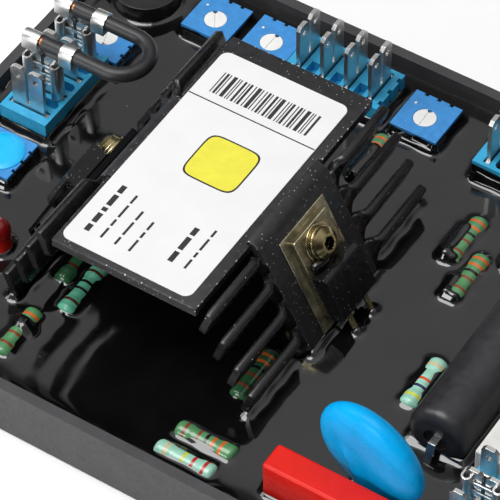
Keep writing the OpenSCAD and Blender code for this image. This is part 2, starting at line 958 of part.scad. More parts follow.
module can_solid() {
    translate([can_at[0], can_at[1], seat_z]) cylinder(h = can_h, d = can_d);
}

module round_can() {
    color([0.07, 0.07, 0.075]) difference() {
        can_solid();
        translate([can_at[0], can_at[1], seat_z + can_h - 0.3]) cylinder(h = 1, d = can_d - 1.8);
    }
}

module lamp_solid(l) {
    translate([l[0], l[1], seat_z]) {
        cylinder(h = lamp_h - lamp_d / 2, d = lamp_d);
        translate([0, 0, lamp_h - lamp_d / 2]) sphere(d = lamp_d);
    }
}

module lamp_left() {
    color([0.75, 0.06, 0.05]) lamp_solid(lamp_at[0]);
}

module lamp_right() {
    color([0.85, 0.08, 0.06]) lamp_solid(lamp_at[1]);
}

tray();
potting_resin();
circuit_board();
heat_sink();
sink_label();
device_pads();
device_tabs();
device_bodies();
device_legs();
device_screws();
device_washers();
device_spring_washers();
device_nuts();
block_left();
block_far();
block_right();
block_low();
blades_left();
blades_far();
blades_right();
blades_low();
receptacle_1();
receptacle_2();
receptacle_low();
link_wire();
link_cores();
trimmer_1();
trimmer_2();
trimmer_3();
trimmer_4();
trimmer_5();
rotor_1();
rotor_2();
rotor_3();
rotor_4();
rotor_5();
trimmer_seal();
resistor_1();
resistor_2();
resistor_3();
resistor_4();
resistor_5();
resistor_6();
resistor_7();
resistor_8();
resistor_9();
resistor_10();
film_capacitor();
disc_varistor();
varistor_leads();
axial_capacitor();
axial_leads();
ceramic_resistor();
round_can();
lamp_left();
lamp_right();
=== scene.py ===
"""Dresses a potted voltage regulator: resin, sheet heat sink, terminals, trimmers and small components."""
import math

import bmesh
import bpy
import numpy as np
from mathutils import Matrix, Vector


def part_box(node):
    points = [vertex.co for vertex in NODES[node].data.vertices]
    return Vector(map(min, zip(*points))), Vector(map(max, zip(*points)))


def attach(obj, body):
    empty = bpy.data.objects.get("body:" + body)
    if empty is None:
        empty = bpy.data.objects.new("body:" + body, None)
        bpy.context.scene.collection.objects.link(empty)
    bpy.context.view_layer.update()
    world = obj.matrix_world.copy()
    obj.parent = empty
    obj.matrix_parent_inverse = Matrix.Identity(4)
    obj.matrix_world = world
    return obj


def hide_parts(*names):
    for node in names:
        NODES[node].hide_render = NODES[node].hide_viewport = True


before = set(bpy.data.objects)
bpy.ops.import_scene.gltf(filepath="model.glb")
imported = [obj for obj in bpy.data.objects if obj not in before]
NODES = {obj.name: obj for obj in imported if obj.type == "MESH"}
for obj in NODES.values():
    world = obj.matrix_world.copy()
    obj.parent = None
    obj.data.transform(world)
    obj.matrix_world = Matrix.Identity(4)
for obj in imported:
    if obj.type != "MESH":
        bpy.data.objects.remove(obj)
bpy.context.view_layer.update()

bl_info = {
    "name": "Voltage regulator dressing",
    "version": (1, 0, 0),
    "blender": (4, 5, 0),
    "location": "View3D > Sidebar > Regulator",
    "description": "Builds the visual pieces and finishes of a potted voltage regulator over its CAD frame",
    "category": "Object",
}

# named lengths are in millimetres and named angles in degrees, unless the name or a comment says metres

BODY = "regulator"
MM = 0.001
BLOCKS = ("left", "far", "right", "low")
TRIMMERS = ("trimmer_1", "trimmer_2", "trimmer_3", "trimmer_4", "trimmer_5")
TURNED_TRIMMERS = ("trimmer_4", "trimmer_5")
SHARP_ANGLE, BEVEL_ANGLE, FLAT_ANGLE = 40.0, 35.0, 1.0
WELD_METRES = 1e-6


# meshes

def box_mm(node):
    """Lowest and highest corner of a CAD node, in millimetres."""
    low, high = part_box(node)
    return np.array(low) / MM, np.array(high) / MM


def mesh_object(name, verts, faces, sharp=SHARP_ANGLE):
    """A new smooth-shaded object from points in millimetres."""
    mesh = bpy.data.meshes.new(name)
    mesh.from_pydata((np.asarray(verts, float) * MM).tolist(), [], [list(map(int, f)) for f in faces])
    mesh.update()
    smooth(mesh, sharp)
    piece = bpy.data.objects.new(name, mesh)
    bpy.context.scene.collection.objects.link(piece)
    return piece


def smooth(mesh, sharp=SHARP_ANGLE):
    """Smooth shading with sharp edges over the given angle."""
    mesh.polygons.foreach_set("use_smooth", [True] * len(mesh.polygons))
    mesh.set_sharp_from_angle(angle=math.radians(sharp))


def round_edges(piece, width, angle=BEVEL_ANGLE):
    """Bevels every edge of a piece that is sharper than the angle, in the piece's second finish."""
    bm = bmesh.new()
    bm.from_mesh(piece.data)
    bmesh.ops.remove_doubles(bm, verts=bm.verts, dist=WELD_METRES / 10)
    bmesh.ops.recalc_face_normals(bm, faces=bm.faces)
    limit = math.radians(angle)
    edges = [e for e in bm.edges if len(e.link_faces) == 2 and e.calc_face_angle() > limit]
    bmesh.ops.bevel(bm, geom=edges, offset=width * MM, segments=2, profile=0.6, affect="EDGES",
                    clamp_overlap=True, material=1)
    bm.to_mesh(piece.data)
    bm.free()
    smooth(piece.data)


def settle(piece, material, replaced=(), edge_dust_and_sheen=None):
    """Gives a piece its finish and its body, and hides the CAD nodes that it stands for."""
    marked = [polygon.material_index for polygon in piece.data.polygons]
    piece.data.materials.clear()
    piece.data.materials.append(material)
    # the second finish goes on the marked faces: mostly a paler painted highlight on edges, with dust specks
    # on the heat sink's edges
    if edge_dust_and_sheen:
        piece.data.materials.append(edge_dust_and_sheen)
        piece.data.polygons.foreach_set("material_index", marked)
    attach(piece, BODY)
    if replaced:
        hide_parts(*replaced)


def coat_node(node, material, edge=0.0, segments=2, edge_dust_and_sheen=None):
    """Gives a CAD node its finish and, with an edge, softly rounded edges that may have a second finish, a
    paler painted highlight.
    """
    o = NODES[node]
    o.data.materials.clear()
    o.data.materials.append(material)
    if edge <= 0:
        return
    if "custom_normal" in o.data.attributes:
        o.data.attributes.remove(o.data.attributes["custom_normal"])
    o.data.polygons.foreach_set("use_smooth", [True] * len(o.data.polygons))
    weld = o.modifiers.new("Weld", "WELD")
    weld.merge_threshold = WELD_METRES
    flat = o.modifiers.new("Flat faces", "DECIMATE")
    flat.decimate_type = "DISSOLVE"
    flat.angle_limit = math.radians(FLAT_ANGLE)
    bevel = o.modifiers.new("Soft edges", "BEVEL")
    bevel.width = edge * MM
    bevel.segments = segments
    bevel.limit_method = "ANGLE"
    bevel.angle_limit = math.radians(BEVEL_ANGLE)
    bevel.harden_normals = True
    if edge_dust_and_sheen:
        o.data.materials.append(edge_dust_and_sheen)
        bevel.material = 1


def upright(x=0.0, y=0.0):
    """Place of a prism that stands up from an outline about (x, y)."""
    return lambda a, b, depth: (x + a, y + b, depth)


def prism(outline, low, high, place=upright()):
    """Points and faces of an outline pushed from low to high; place turns (a, b, depth) into a point."""
    n = len(outline)
    verts = [place(a, b, low) for a, b in outline] + [place(a, b, high) for a, b in outline]
    faces = [list(range(n))[::-1], list(range(n, 2 * n))]
    faces += [[k, (k + 1) % n, n + (k + 1) % n, n + k] for k in range(n)]
    return verts, faces


def circle(x, y, r, steps):
    """Points of a circle about (x, y)."""
    turns = [2 * math.pi * q / steps for q in range(steps)]
    return [(x + r * math.cos(t), y + r * math.sin(t)) for t in turns]


def loft(rings):
    """Points and faces of closed rings joined in order, with both ends capped; the caps come first."""
    n = len(rings[0])
    verts = [p for ring in rings for p in ring]
    faces = [list(range(n))[::-1], list(range((len(rings) - 1) * n, len(rings) * n))]
    for r in range(len(rings) - 1):
        for k in range(n):
            j = (k + 1) % n
            faces.append([r * n + k, r * n + j, (r + 1) * n + j, (r + 1) * n + k])
    return verts, faces


def lathe(profile, steps):
    """Points and faces of a shape turned about Y; its (radius, along) profile starts and ends on the axis."""
    verts, faces = [], []
    inner = profile[1:-1]
    for r, a in inner:
        verts += [(x, a, z) for x, z in circle(0.0, 0.0, r, steps)]
    for i in range(len(inner) - 1):
        for k in range(steps):
            j = (k + 1) % steps
            faces.append([i * steps + k, (i + 1) * steps + k, (i + 1) * steps + j, i * steps + j])
    first, last = len(verts), len(verts) + 1
    verts += [(0, profile[0][1], 0), (0, profile[-1][1], 0)]
    tail = (len(inner) - 1) * steps
    for k in range(steps):
        j = (k + 1) % steps
        faces.append([first, k, j])
        faces.append([last, tail + j, tail + k])
    return verts, faces


def gather(parts):
    """Joins several (points, faces) pairs into one."""
    verts, faces = [], []
    for v, f in parts:
        base = len(verts)
        verts += list(v)
        faces += [[i + base for i in face] for face in f]
    return verts, faces


# finishes

MOULDED_GRAIN, METAL_GRAIN = (0.12, 0.25, 0.012), (0.06, 0.5, 0.008)
DUST = (0.75, 0.74, 0.72)
WET_ROUGH, WET_SOFT, WET_WANDER, WET_SIZE = 0.06, 0.15, 0.3, 2.2
LEAST_ROUGH = 0.02


def colour4(c):
    return (c[0], c[1], c[2], 1.0)


def shade(c, k):
    return tuple(min(1.0, x * k) for x in c)


def fill_ramp(ramp, stops):
    """Sets the stops of a colour ramp, each a place and a colour."""
    elements = ramp.color_ramp.elements
    while len(elements) < len(stops):
        elements.new(0.5)
    for element, (place, colour) in zip(elements, stops):
        element.position = place
        element.color = colour4(colour)


class Finish:
    """A procedural material: colour mottle, uneven gloss, fine grain and, where asked, specks and films."""

    def __init__(self, name, colour, rough, metal=0.0):
        self.mat = bpy.data.materials.new(name)
        self.mat.use_nodes = True
        self.mat.diffuse_color = colour4(colour)
        self.tree = self.mat.node_tree
        self.tree.nodes.clear()
        out = self.node("ShaderNodeOutputMaterial")
        self.bsdf = self.node("ShaderNodeBsdfPrincipled")
        self.link(self.bsdf.outputs[0], out.inputs[0])
        self.coords = self.node("ShaderNodeTexCoord")
        self.bsdf.inputs["Base Color"].default_value = colour4(colour)
        self.bsdf.inputs["Roughness"].default_value = rough
        self.bsdf.inputs["Metallic"].default_value = metal
        self.rough = rough
        self.tint = colour

    def node(self, kind):
        return self.tree.nodes.new(kind)

    def link(self, a, b):
        self.tree.links.new(a, b)

    def feed(self, socket, value):
        """Gives an input socket another socket, a colour or a number."""
        if isinstance(value, bpy.types.NodeSocket):
            self.link(value, socket)
        else:
            socket.default_value = value

    def tinted(self):
        """Whether the colour already comes from nodes."""
        return isinstance(self.tint, bpy.types.NodeSocket)

    def axis(self, kind, n):
        """One axis of the Object coordinates, in metres, or of the Generated ones, over the piece's box."""
        split = self.node("ShaderNodeSeparateXYZ")
        self.link(self.coords.outputs[kind], split.inputs[0])
        return split.outputs[n]

    def noise(self, size, detail):
        """Noise with features of about the given size."""
        n = self.node("ShaderNodeTexNoise")
        n.inputs["Scale"].default_value = 1.0 / (size * MM)
        n.inputs["Detail"].default_value = detail
        self.link(self.coords.outputs["Object"], n.inputs["Vector"])
        return n.outputs["Fac"]

    def blend(self, fac, a, b):
        """Colour a to colour b by a factor; each is a colour or a socket."""
        m = self.node("ShaderNodeMix")
        m.data_type = "RGBA"
        self.link(fac, m.inputs[0])
        for socket, value in ((m.inputs[6], a), (m.inputs[7], b)):
            self.feed(socket, value if isinstance(value, bpy.types.NodeSocket) else colour4(value))
        return m.outputs[2]

    def spread(self, fac, low, high, start=0.3, end=0.7):
        """Maps a value between start and end to one between low and high."""
        m = self.node("ShaderNodeMapRange")
        for name, value in (("From Min", start), ("From Max", end), ("To Min", low), ("To Max", high)):
            m.inputs[name].default_value = value
        self.link(fac, m.inputs["Value"])
        return m.outputs["Result"]

    def reckon(self, a, kind, b):
        """One step of arithmetic on a socket."""
        m = self.node("ShaderNodeMath")
        m.operation = kind
        self.link(a, m.inputs[0])
        self.feed(m.inputs[1], b)
        return m.outputs[0]

    def mottle(self, amount, size):
        fac = self.spread(self.noise(size, 4.0), 0.0, 1.0)
        if self.tinted():
            dim = self.node("ShaderNodeHueSaturation")
            self.link(self.spread(fac, 1 - amount, 1 + amount, 0.0, 1.0), dim.inputs["Value"])
            self.link(self.tint, dim.inputs["Color"])
            self.tint = dim.outputs["Color"]
        else:
            self.tint = self.blend(fac, shade(self.tint, 1 - amount), shade(self.tint, 1 + amount))
        return self

    def uneven(self, amount, size):
        low, high = max(LEAST_ROUGH, self.rough - amount), min(1.0, self.rough + amount)
        self.link(self.spread(self.noise(size, 3.0), low, high), self.bsdf.inputs["Roughness"])
        return self

    def grain(self, strength, size, depth):
        bump = self.node("ShaderNodeBump")
        bump.inputs["Strength"].default_value = strength
        bump.inputs["Distance"].default_value = depth * MM
        self.link(self.noise(size, 2.0), bump.inputs["Height"])
        self.link(bump.outputs["Normal"], self.bsdf.inputs["Normal"])
        return self

    def specks(self, share, cell, radius, colour=DUST):
        """Small pale dots: share of the cells that hold one, cell size and radius as a part of the cell."""
        cells = self.node("ShaderNodeTexVoronoi")
        cells.inputs["Scale"].default_value = 1.0 / (cell * MM)
        self.link(self.coords.outputs["Object"], cells.inputs["Vector"])
        part = self.node("ShaderNodeSeparateColor")
        self.link(cells.outputs["Color"], part.inputs["Color"])
        near = self.reckon(cells.outputs["Distance"], "LESS_THAN", radius)
        chosen = self.reckon(part.outputs[0], "LESS_THAN", share)
        self.tint = self.blend(self.reckon(near, "MULTIPLY", chosen), self.tint, colour)
        return self

    def stripes(self, axis, stops):
        """Bands of colour across the piece's own box; stops are (place, colour) along the axis."""
        ramp = self.node("ShaderNodeValToRGB")
        ramp.color_ramp.interpolation = "CONSTANT"
        fill_ramp(ramp, stops)
        self.link(self.axis("Generated", axis), ramp.inputs["Fac"])
        self.tint = ramp.outputs["Color"]
        return self

    def beyond(self, axis, start, end, colour):
        """Blends to another colour along an axis of the object, between two places."""
        fac = self.spread(self.axis("Object", axis), 0.0, 1.0, start * MM, end * MM)
        self.tint = self.blend(fac, self.tint, colour)
        return self

    def wet(self, level):
        """A black film of resin up to a height, with an edge that wanders."""
        edge = self.spread(self.noise(WET_SIZE, 2.0), -WET_WANDER * MM, WET_WANDER * MM, 0.25, 0.75)
        height = self.reckon(self.axis("Object", 2), "ADD", edge)
        film = self.spread(height, 1.0, 0.0, (level - WET_SOFT) * MM, (level + WET_SOFT) * MM)
        self.tint = self.blend(film, self.tint, hues().resin)
        rough = self.bsdf.inputs["Roughness"]
        gloss = self.node("ShaderNodeMix")
        self.link(film, gloss.inputs[0])
        self.feed(gloss.inputs[2], rough.links[0].from_socket if rough.links else self.rough)
        gloss.inputs[3].default_value = WET_ROUGH
        self.link(gloss.outputs[0], rough)
        return self

    def spot(self, centre, radius, colour):
        """Another colour round a point, such as painted shade in a screw's socket."""
        far = self.node("ShaderNodeVectorMath")
        far.operation = "DISTANCE"
        self.link(self.coords.outputs["Object"], far.inputs[0])
        far.inputs[1].default_value = [c * MM for c in centre]
        near = self.reckon(far.outputs["Value"], "LESS_THAN", radius * MM)
        self.tint = self.blend(near, self.tint, colour)
        return self

    def coat(self, weight, rough):
        self.bsdf.inputs["Coat Weight"].default_value = weight
        self.bsdf.inputs["Coat Roughness"].default_value = rough
        return self

    def gloss(self, ior):
        self.bsdf.inputs["IOR"].default_value = ior
        return self

    def done(self):
        if self.tinted():
            self.link(self.tint, self.bsdf.inputs["Base Color"])
        return self.mat


def metal_finish(name, colour, rough):
    return Finish(name, colour, rough, 1.0).mottle(0.08, 2.0).uneven(0.06, 1.2).grain(*METAL_GRAIN).done()


def moulded_finish(name, colour, rough, mottle=0.08, wet=None):
    finish = Finish(name, colour, rough).mottle(mottle, 2.5).uneven(0.08, 1.0).grain(*MOULDED_GRAIN)
    if wet is not None:
        finish.wet(wet)
    return finish.done()


# settings

def tint(name, words, value):
    return bpy.props.FloatVectorProperty(
        name=name, description=words, default=value, size=3, min=0.0, max=1.0, subtype="COLOR")


def length(name, words, value, low=0.0, high=10.0):
    return bpy.props.FloatProperty(
        name=name, description=words, default=value * MM, min=low * MM, max=high * MM, unit="LENGTH",
        precision=5)


def turn(name, words, value):
    return bpy.props.FloatProperty(name=name, description=words, default=math.radians(value), subtype="ANGLE")


def power(name, words, value):
    return bpy.props.FloatProperty(name=name, description=words, default=value, min=0.0, unit="POWER")


class RegulatorColours(bpy.types.PropertyGroup):
    """Colours of the regulator's finishes."""
    tray: tint("Tray", "Matte plastic of the tray", (0.046, 0.045, 0.048))
    resin: tint("Resin", "Cast resin in the tray", (0.0035, 0.0034, 0.0037))
    sheet: tint("Heat sink", "Black sheet of the heat sink", (0.026, 0.025, 0.027))
    label: tint("Label", "Film on the heat sink", (0.80, 0.80, 0.81))
    ink: tint("Ink", "Plain print on the label", (0.02, 0.02, 0.022))
    field: tint("Field", "Plain colour field on the label", (0.80, 0.74, 0.06))
    block: tint("Terminal block", "Plastic of the terminal blocks", (0.035, 0.370, 0.640))
    trimmer: tint("Trimmer", "Plastic of the trimmers", (0.045, 0.265, 0.640))
    rotor: tint("Rotor", "Plastic of the trimmer rotors", (0.84, 0.84, 0.82))
    seal: tint("Seal", "Lacquer over the sealed trimmer", (0.008, 0.480, 0.900))
    red: tint("Box capacitor", "Dipped coat of the box capacitor", (0.70, 0.014, 0.008))
    disc: tint("Disc", "Dipped coat of the disc", (0.002, 0.360, 0.780))
    silver: tint("Silver", "Tinned metal of blades and receptacles", (0.70, 0.70, 0.69))
    gold: tint("Gold", "Plated metal of legs and screws", (0.46, 0.37, 0.18))


class RegulatorSizes(bpy.types.PropertyGroup):
    """Sizes of what is shaped here."""
    edge: length("Edge", "Rounding of the terminal blocks' edges", 0.25)
    climb: length("Climb", "Height that the resin climbs at most pieces", 0.8)
    reach: length("Reach", "Distance over which the resin falls back", 0.85)
    film: length("Film", "Bare height at the top of a trimmer's wetted sides", 0.6)
    wave: length("Wave", "Unevenness of the resin's face", 0.05)
    mesh_step: length("Mesh step", "Spacing of the resin's points", 0.4, 0.3)
    twist: turn("Twist", "Turn of the heat sink's strips", 46.0)
    twist_run: length("Twist run", "Length over which a strip turns", 3.2)


class RegulatorStage(bpy.types.PropertyGroup):
    """Camera, floor and light."""
    lens: bpy.props.FloatProperty(
        name="Lens", description="Focal length on a 36 mm sensor", default=248.8, min=10.0,
        subtype="DISTANCE_CAMERA")
    azimuth: turn("Azimuth", "Camera's turn about the object", 33.54)
    elevation: turn("Elevation", "Camera's height over the floor", 49.45)
    roll: turn("Roll", "Camera's turn about its own axis", -0.90)
    floor: tint("Floor", "Pale floor", (0.97, 0.97, 0.97))
    sky: bpy.props.FloatProperty(
        name="Sky", description="Strength of the light all round", default=2.0, min=0.0)
    key: power("Key", "Power of the overhead light", 6.4)
    fill: power("Fill", "Power of the light from the left", 1.5)
    front: power("Front", "Power of the low light on the near side", 3.0)


def hues():
    return bpy.context.scene.regulator_colours


def sizes():
    return bpy.context.scene.regulator_sizes


# tray and resin

class REGULATOR_OT_tray(bpy.types.Operator):
    """Finishes the tray and the circuit board"""
    bl_idname = "regulator.tray"
    bl_label = "Tray"

    def execute(self, context):
        tray = Finish("Tray plastic", hues().tray, 0.52).mottle(0.12, 4.0).uneven(0.08, 0.8)
        tray.grain(0.25, 0.18, 0.02).specks(0.05, 1.6, 0.07, (0.25, 0.25, 0.25))
        coat_node("tray", tray.done(), 0.3, 3)
        coat_node("circuit_board", moulded_finish("Laminate", (0.02, 0.10, 0.04), 0.4))
        return {"FINISHED"}


RESIN_DROP, RESIN_CORNER, FALL_SOFT = 0.2, 0.7, 0.4
BLOCK_CLIMB = {"block_right": 2.4, "block_far": 1.5, "block_left": 1.3}
BOXES = tuple("block_" + b for b in BLOCKS) + ("film_capacitor", "ceramic_resistor")
AXIAL_INSET, RESISTOR_CORE, FULL_COVER = 0.3, 0.9, 0.4
BLOB_BACK, BLOB_R, BLOB_CLIMB = 4.0, 0.9, 1.5
DISC_LEAD_R, LEG_R, LEG_OUT, LEG_ALONG = 0.4, 0.5, 3.3, (-2.4, 2.7)
FLAP_HALF, STRIP_FOOT_HALF, BOSS_INSET, BOSS_R = 0.2, 0.3, 4.0, 3.4
# shares of the usual climb and reach
TIGHT_REACH, RESISTOR_REACH, FLAP_SHARE, STRIP_CLIMB, STRIP_REACH = 0.8, 1.5, 1.2, 1.1, 1.3
DEEP_SHARE = {7: 1.1}
ROUND_CLIMB = {"round_can": 0.5, "lamp_left": 1.0, "lamp_right": 1.0}
# resin over part of a resistor: x0, y0, x1 and y1 of a box, x from the middle and y from the near end
# or, under 0, from the far end; then the climb, or None for all of the resistor's height, and the reach
RESISTOR_COVERS = (
    ("resistor_10", (-0.6, 0.0, 0.6, -3.4), None, 1.1),
    ("resistor_8", (-1.9, 0.4, -0.6, -3.0), 1.4, 1.0),
    ("resistor_8", (-1.6, 0.4, 0.8, 1.6), 1.4, 1.0),
    ("resistor_9", (-1.9, 0.4, -1.1, 5.0), 1.3, 1.0),
    ("resistor_9", (-1.5, 0.3, 0.8, 0.9), 1.35, 1.0),
)


def footprints():
    """What the resin climbs: ("box", x0, y0, x1, y1) or ("disc", x, y, r), with a climb and a reach."""
    top = box_mm("potting_resin")[1][2]
    climb, reach = sizes().climb / MM, sizes().reach / MM
    found = []

    def box(x0, y0, x1, y1, up=climb, out=reach):
        found.append((("box", x0, y0, x1, y1), up, out))

    def disc(x, y, r, up=climb, out=reach):
        found.append((("disc", x, y, r), up, out))

    for node in TRIMMERS:
        low, high = box_mm(node)
        box(*low[:2], *high[:2], high[2] - top - sizes().film / MM, TIGHT_REACH * reach)
    for node in BOXES:
        low, high = box_mm(node)
        box(*low[:2], *high[:2], BLOCK_CLIMB.get(node, climb))
    low, high = box_mm("axial_capacitor")
    box(*(low[:2] + AXIAL_INSET), *(high[:2] - AXIAL_INSET))
    for i in RESISTOR_LOOK:
        low, high = box_mm("resistor_%d" % i)
        c, size = (low + high) / 2, high - low
        half = max(size[0], size[1]) / 2 - RESISTOR_CORE
        x, y = (half, RESISTOR_CORE) if size[0] > size[1] else (RESISTOR_CORE, half)
        deep = DEEP_SHARE.get(i, 1.0)
        box(c[0] - x, c[1] - y, c[0] + x, c[1] + y, deep * climb, RESISTOR_REACH * deep * reach)
    for node, (x0, y0, x1, y1), up, out in RESISTOR_COVERS:
        low, high = box_mm(node)
        x = (low[0] + high[0]) / 2
        near, far = [(low[1] if y >= 0 else high[1]) + y for y in (y0, y1)]
        box(x + x0, near, x + x1, far, up or high[2] - top + FULL_COVER, out)
    low, high = box_mm("resistor_1")
    disc((low[0] + high[0]) / 2, high[1] - BLOB_BACK, BLOB_R, BLOB_CLIMB, BLOB_CLIMB)
    for node, share in ROUND_CLIMB.items():
        low, high = box_mm(node)
        c = (low + high) / 2
        disc(c[0], c[1], (high[0] - low[0]) / 2, share * climb, TIGHT_REACH * reach)
    low, high = box_mm("varistor_leads")
    disc(low[0] + DISC_LEAD_R, high[1] - DISC_LEAD_R, DISC_LEAD_R)
    disc(high[0] - DISC_LEAD_R, low[1] + DISC_LEAD_R, DISC_LEAD_R)
    k = sink_shape()
    for along in LEG_ALONG:
        x, y, _ = flap_point(k, 1, LEG_OUT, along, slope_at(k, LEG_OUT, top))
        disc(x, y, LEG_R)
    for side in (1, -1):
        for w in (0.0, -SHEET_T):
            x = flap_point(k, side, w, 0.0, slope_at(k, w, top))[0]
            box(x - FLAP_HALF, k["y"] - FLAP_W / 2, x + FLAP_HALF, k["y"] + FLAP_W / 2,
                FLAP_SHARE * climb, FLAP_SHARE * reach)
        for end in (1, -1):
            rings = strip_rings(k, side, end, STRIPS - 1)
            root, tip = [min(ring, key=lambda p: p[2]) for ring in (rings[-4], rings[-1])]
            near, far = sorted((root[1], tip[1]))
            box(tip[0] - STRIP_FOOT_HALF, near, tip[0] + STRIP_FOOT_HALF, far,
                STRIP_CLIMB * climb, STRIP_REACH * reach)
    corner = box_mm("tray")[1] - BOSS_INSET
    for sx in (-1, 1):
        for sy in (-1, 1):
            disc(sx * corner[0], sy * corner[1], BOSS_R)
    return found


def outline_distance(shape, x, y):
    """Distance of points from a footprint, 0 inside it."""
    if shape[0] == "disc":
        return np.maximum(np.hypot(x - shape[1], y - shape[2]) - shape[3], 0.0)
    x0, y0, x1, y1 = shape[1:]
    corner = min(RESIN_CORNER, (x1 - x0) / 2, (y1 - y0) / 2)
    dx = np.maximum(np.maximum(x0 + corner - x, x - x1 + corner), 0.0)
    dy = np.maximum(np.maximum(y0 + corner - y, y - y1 + corner), 0.0)
    return np.maximum(np.hypot(dx, dy) - corner, 0.0)


def fall(distance, climb, reach):
    """Height of the resin at a distance from what it climbs: a steep slope, flat past its reach."""
    rest = 1.0 - distance / reach
    return climb * (rest + np.sqrt(rest ** 2 + FALL_SOFT ** 2)) / (1.0 + math.sqrt(1.0 + FALL_SOFT ** 2))


def ripple(x, y, long_x, start_x, long_y, start_y):
    """A wave in both directions, between -1 and 1."""
    return np.sin(x / long_x + start_x) * np.sin(y / long_y + start_y)


def soft_waves(x, y):
    """A gentle uneven surface, between about -1 and 1."""
    slanted = 0.6 * np.sin(x / 3.1 + y / 4.3) + 0.4 * np.sin(x / 2.2 - y / 2.7 + 2.0)
    return (ripple(x, y, 5.3, 0.4, 6.1, 1.2) + slanted) / 2.0


class REGULATOR_OT_resin(bpy.types.Operator):
    """Casts the resin: a level face that climbs every piece standing in it"""
    bl_idname = "regulator.resin"
    bl_label = "Resin"

    def execute(self, context):
        s = sizes()
        low, high = box_mm("potting_resin")
        step = s.mesh_step / MM
        nx, ny = int((high[0] - low[0]) / step) + 1, int((high[1] - low[1]) / step) + 1
        x, y = np.linspace(low[0], high[0], nx), np.linspace(low[1], high[1], ny)
        x, y = np.meshgrid(x, y, indexing="ij")
        vary = 1.0 + 0.10 * ripple(x, y, 2.9, 1.0, 3.7, 0.3) + 0.06 * ripple(x, y, 1.3, 0.6, 1.1, 2.0)
        wobble = 1.0 + 0.18 * ripple(x, y, 1.0, 0.3, 0.9, 1.1)
        sides = np.minimum(x - low[0], high[0] - x)
        # distance from a wall, and shares of the usual climb and reach there: both ends, near side, far side
        walls = ((sides, 0.6, 0.7), (y - low[1], 2.3, 2.4), (high[1] - y, 0.12, 0.6))
        rise = np.zeros_like(x)
        for wall, climb, reach in walls:
            rise += (climb * s.climb / MM * np.exp(-wall * MM / (reach * s.reach))) ** 3
        for shape, climb, reach in footprints():
            rise += fall(wobble * outline_distance(shape, x, y), climb, reach) ** 3
        z = high[2] - RESIN_DROP + vary * np.cbrt(rise) + s.wave / MM * soft_waves(x, y)
        top = np.stack([x, y, z], -1).reshape(-1, 3)
        index = np.arange(nx * ny).reshape(nx, ny)
        quads = np.stack([index[:-1, :-1], index[1:, :-1], index[1:, 1:], index[:-1, 1:]], -1).reshape(-1, 4)
        rim = [*index[:, 0], *index[-1, 1:], *index[-2::-1, -1], *index[0, -2:0:-1]]
        skirt = top[rim].copy()
        skirt[:, 2] = low[2]
        base, n = nx * ny, len(rim)
        skirt_faces = [[rim[k], base + k, base + (k + 1) % n, rim[(k + 1) % n]] for k in range(n)]
        floor = [list(range(base + n - 1, base - 1, -1))]
        faces = quads.tolist() + skirt_faces + floor
        piece = mesh_object("resin_fill", np.vstack([top, skirt]), faces, sharp=60.0)
        cast = Finish("Cast resin", hues().resin, 0.075).gloss(1.75).mottle(0.25, 6.0).uneven(0.035, 5.0)
        cast.grain(0.06, 1.5, 0.02).specks(0.08, 2.0, 0.04, (0.5, 0.5, 0.5))
        settle(piece, cast.done(), ["potting_resin"])
        return {"FINISHED"}


# heat sink

PLATE_W, SHEET_T, FLAP_W, FLAP_GAP, FLAP_LAP = 28.5, 1.8, 21.4, 0.5, 0.4
BEND_AT, BEND_R, BEND_STEPS, FLAP_LEAN = 13.55, 3.0, 12, 27.0
STRIPS, STRIP_FIRST, STRIP_PITCH, STRIP_HALF, STRIP_THIN = 4, 0.8, 5.8, 2.75, 0.05
STRIP_ROOT, STRIP_TIP, STRIP_OUT, STRIP_BEVEL, TIP_BEVEL = 0.6, 0.5, 0.5, 0.28, 0.25
TOP_STRIP_ROOT, TWIST_STEPS = 0.5, 8


def sink_shape():
    """Middle, length and levels of the heat sink from the CAD boxes, and where its flaps start."""
    low, high = box_mm("heat_sink")
    lean = math.radians(FLAP_LEAN)
    top = box_mm("sink_label")[0][2]
    return {
        "x": (low[0] + high[0]) / 2, "y": (low[1] + high[1]) / 2, "l": high[1] - low[1],
        "top": top, "foot": low[2], "lean": lean,
        "out": BEND_AT + BEND_R * math.cos(lean), "rise": top - BEND_R + BEND_R * math.sin(lean),
    }


def flap_point(k, side, w, y, s):
    """A point on a flap: w out of its face, y along the plate, s down the slope."""
    x = k["out"] + w * math.cos(k["lean"]) + s * math.sin(k["lean"])
    z = k["rise"] + w * math.sin(k["lean"]) - s * math.cos(k["lean"])
    return (k["x"] + side * x, k["y"] + y, z)


def slope_at(k, w, z):
    """How far down the slope a line w out of the flap's face reaches the given height."""
    return (k["rise"] + w * math.sin(k["lean"]) - z) / math.cos(k["lean"])


def ease(t):
    """0 to 1 with a soft start and end."""
    t = min(1.0, max(0.0, t))
    return t * t * (3 - 2 * t)


def strip_rings(k, side, end, i):
    """Cross-sections of a twisted strip, from its root in the flap to its free end."""
    run = sizes().twist_run / MM
    root, stop = FLAP_W / 2, k["l"] / 2
    places = [root - STRIP_ROOT] + [root + run * q / TWIST_STEPS for q in range(TWIST_STEPS + 1)]
    places += [stop - STRIP_TIP, stop]
    t, c, lower = SHEET_T / 2 - STRIP_THIN, STRIP_BEVEL, -STRIP_HALF
    rings = []
    for y in places:
        f = ease((y - root) / run)
        angle = sizes().twist * f
        out = -SHEET_T / 2 + f * (SHEET_T / 2 - STRIP_OUT)
        upper = TOP_STRIP_ROOT + f * (STRIP_HALF - TOP_STRIP_ROOT) if i == 0 else STRIP_HALF
        e = TIP_BEVEL if y == stop else 0.0
        corners = [(t - e, lower + c), (t - e, upper - c), (t - c, upper - e), (-t + c, upper - e),
                   (-t + e, upper - c), (-t + e, lower + c), (-t + c, lower + e), (t - c, lower + e)]
        ring = []
        for a, b in corners:
            w = out + a * math.cos(angle) + b * math.sin(angle)
            up = -a * math.sin(angle) + b * math.cos(angle)
            ring.append(flap_point(k, side, w, end * y, STRIP_FIRST + STRIP_PITCH * i - up))
        rings.append(ring)
    return rings


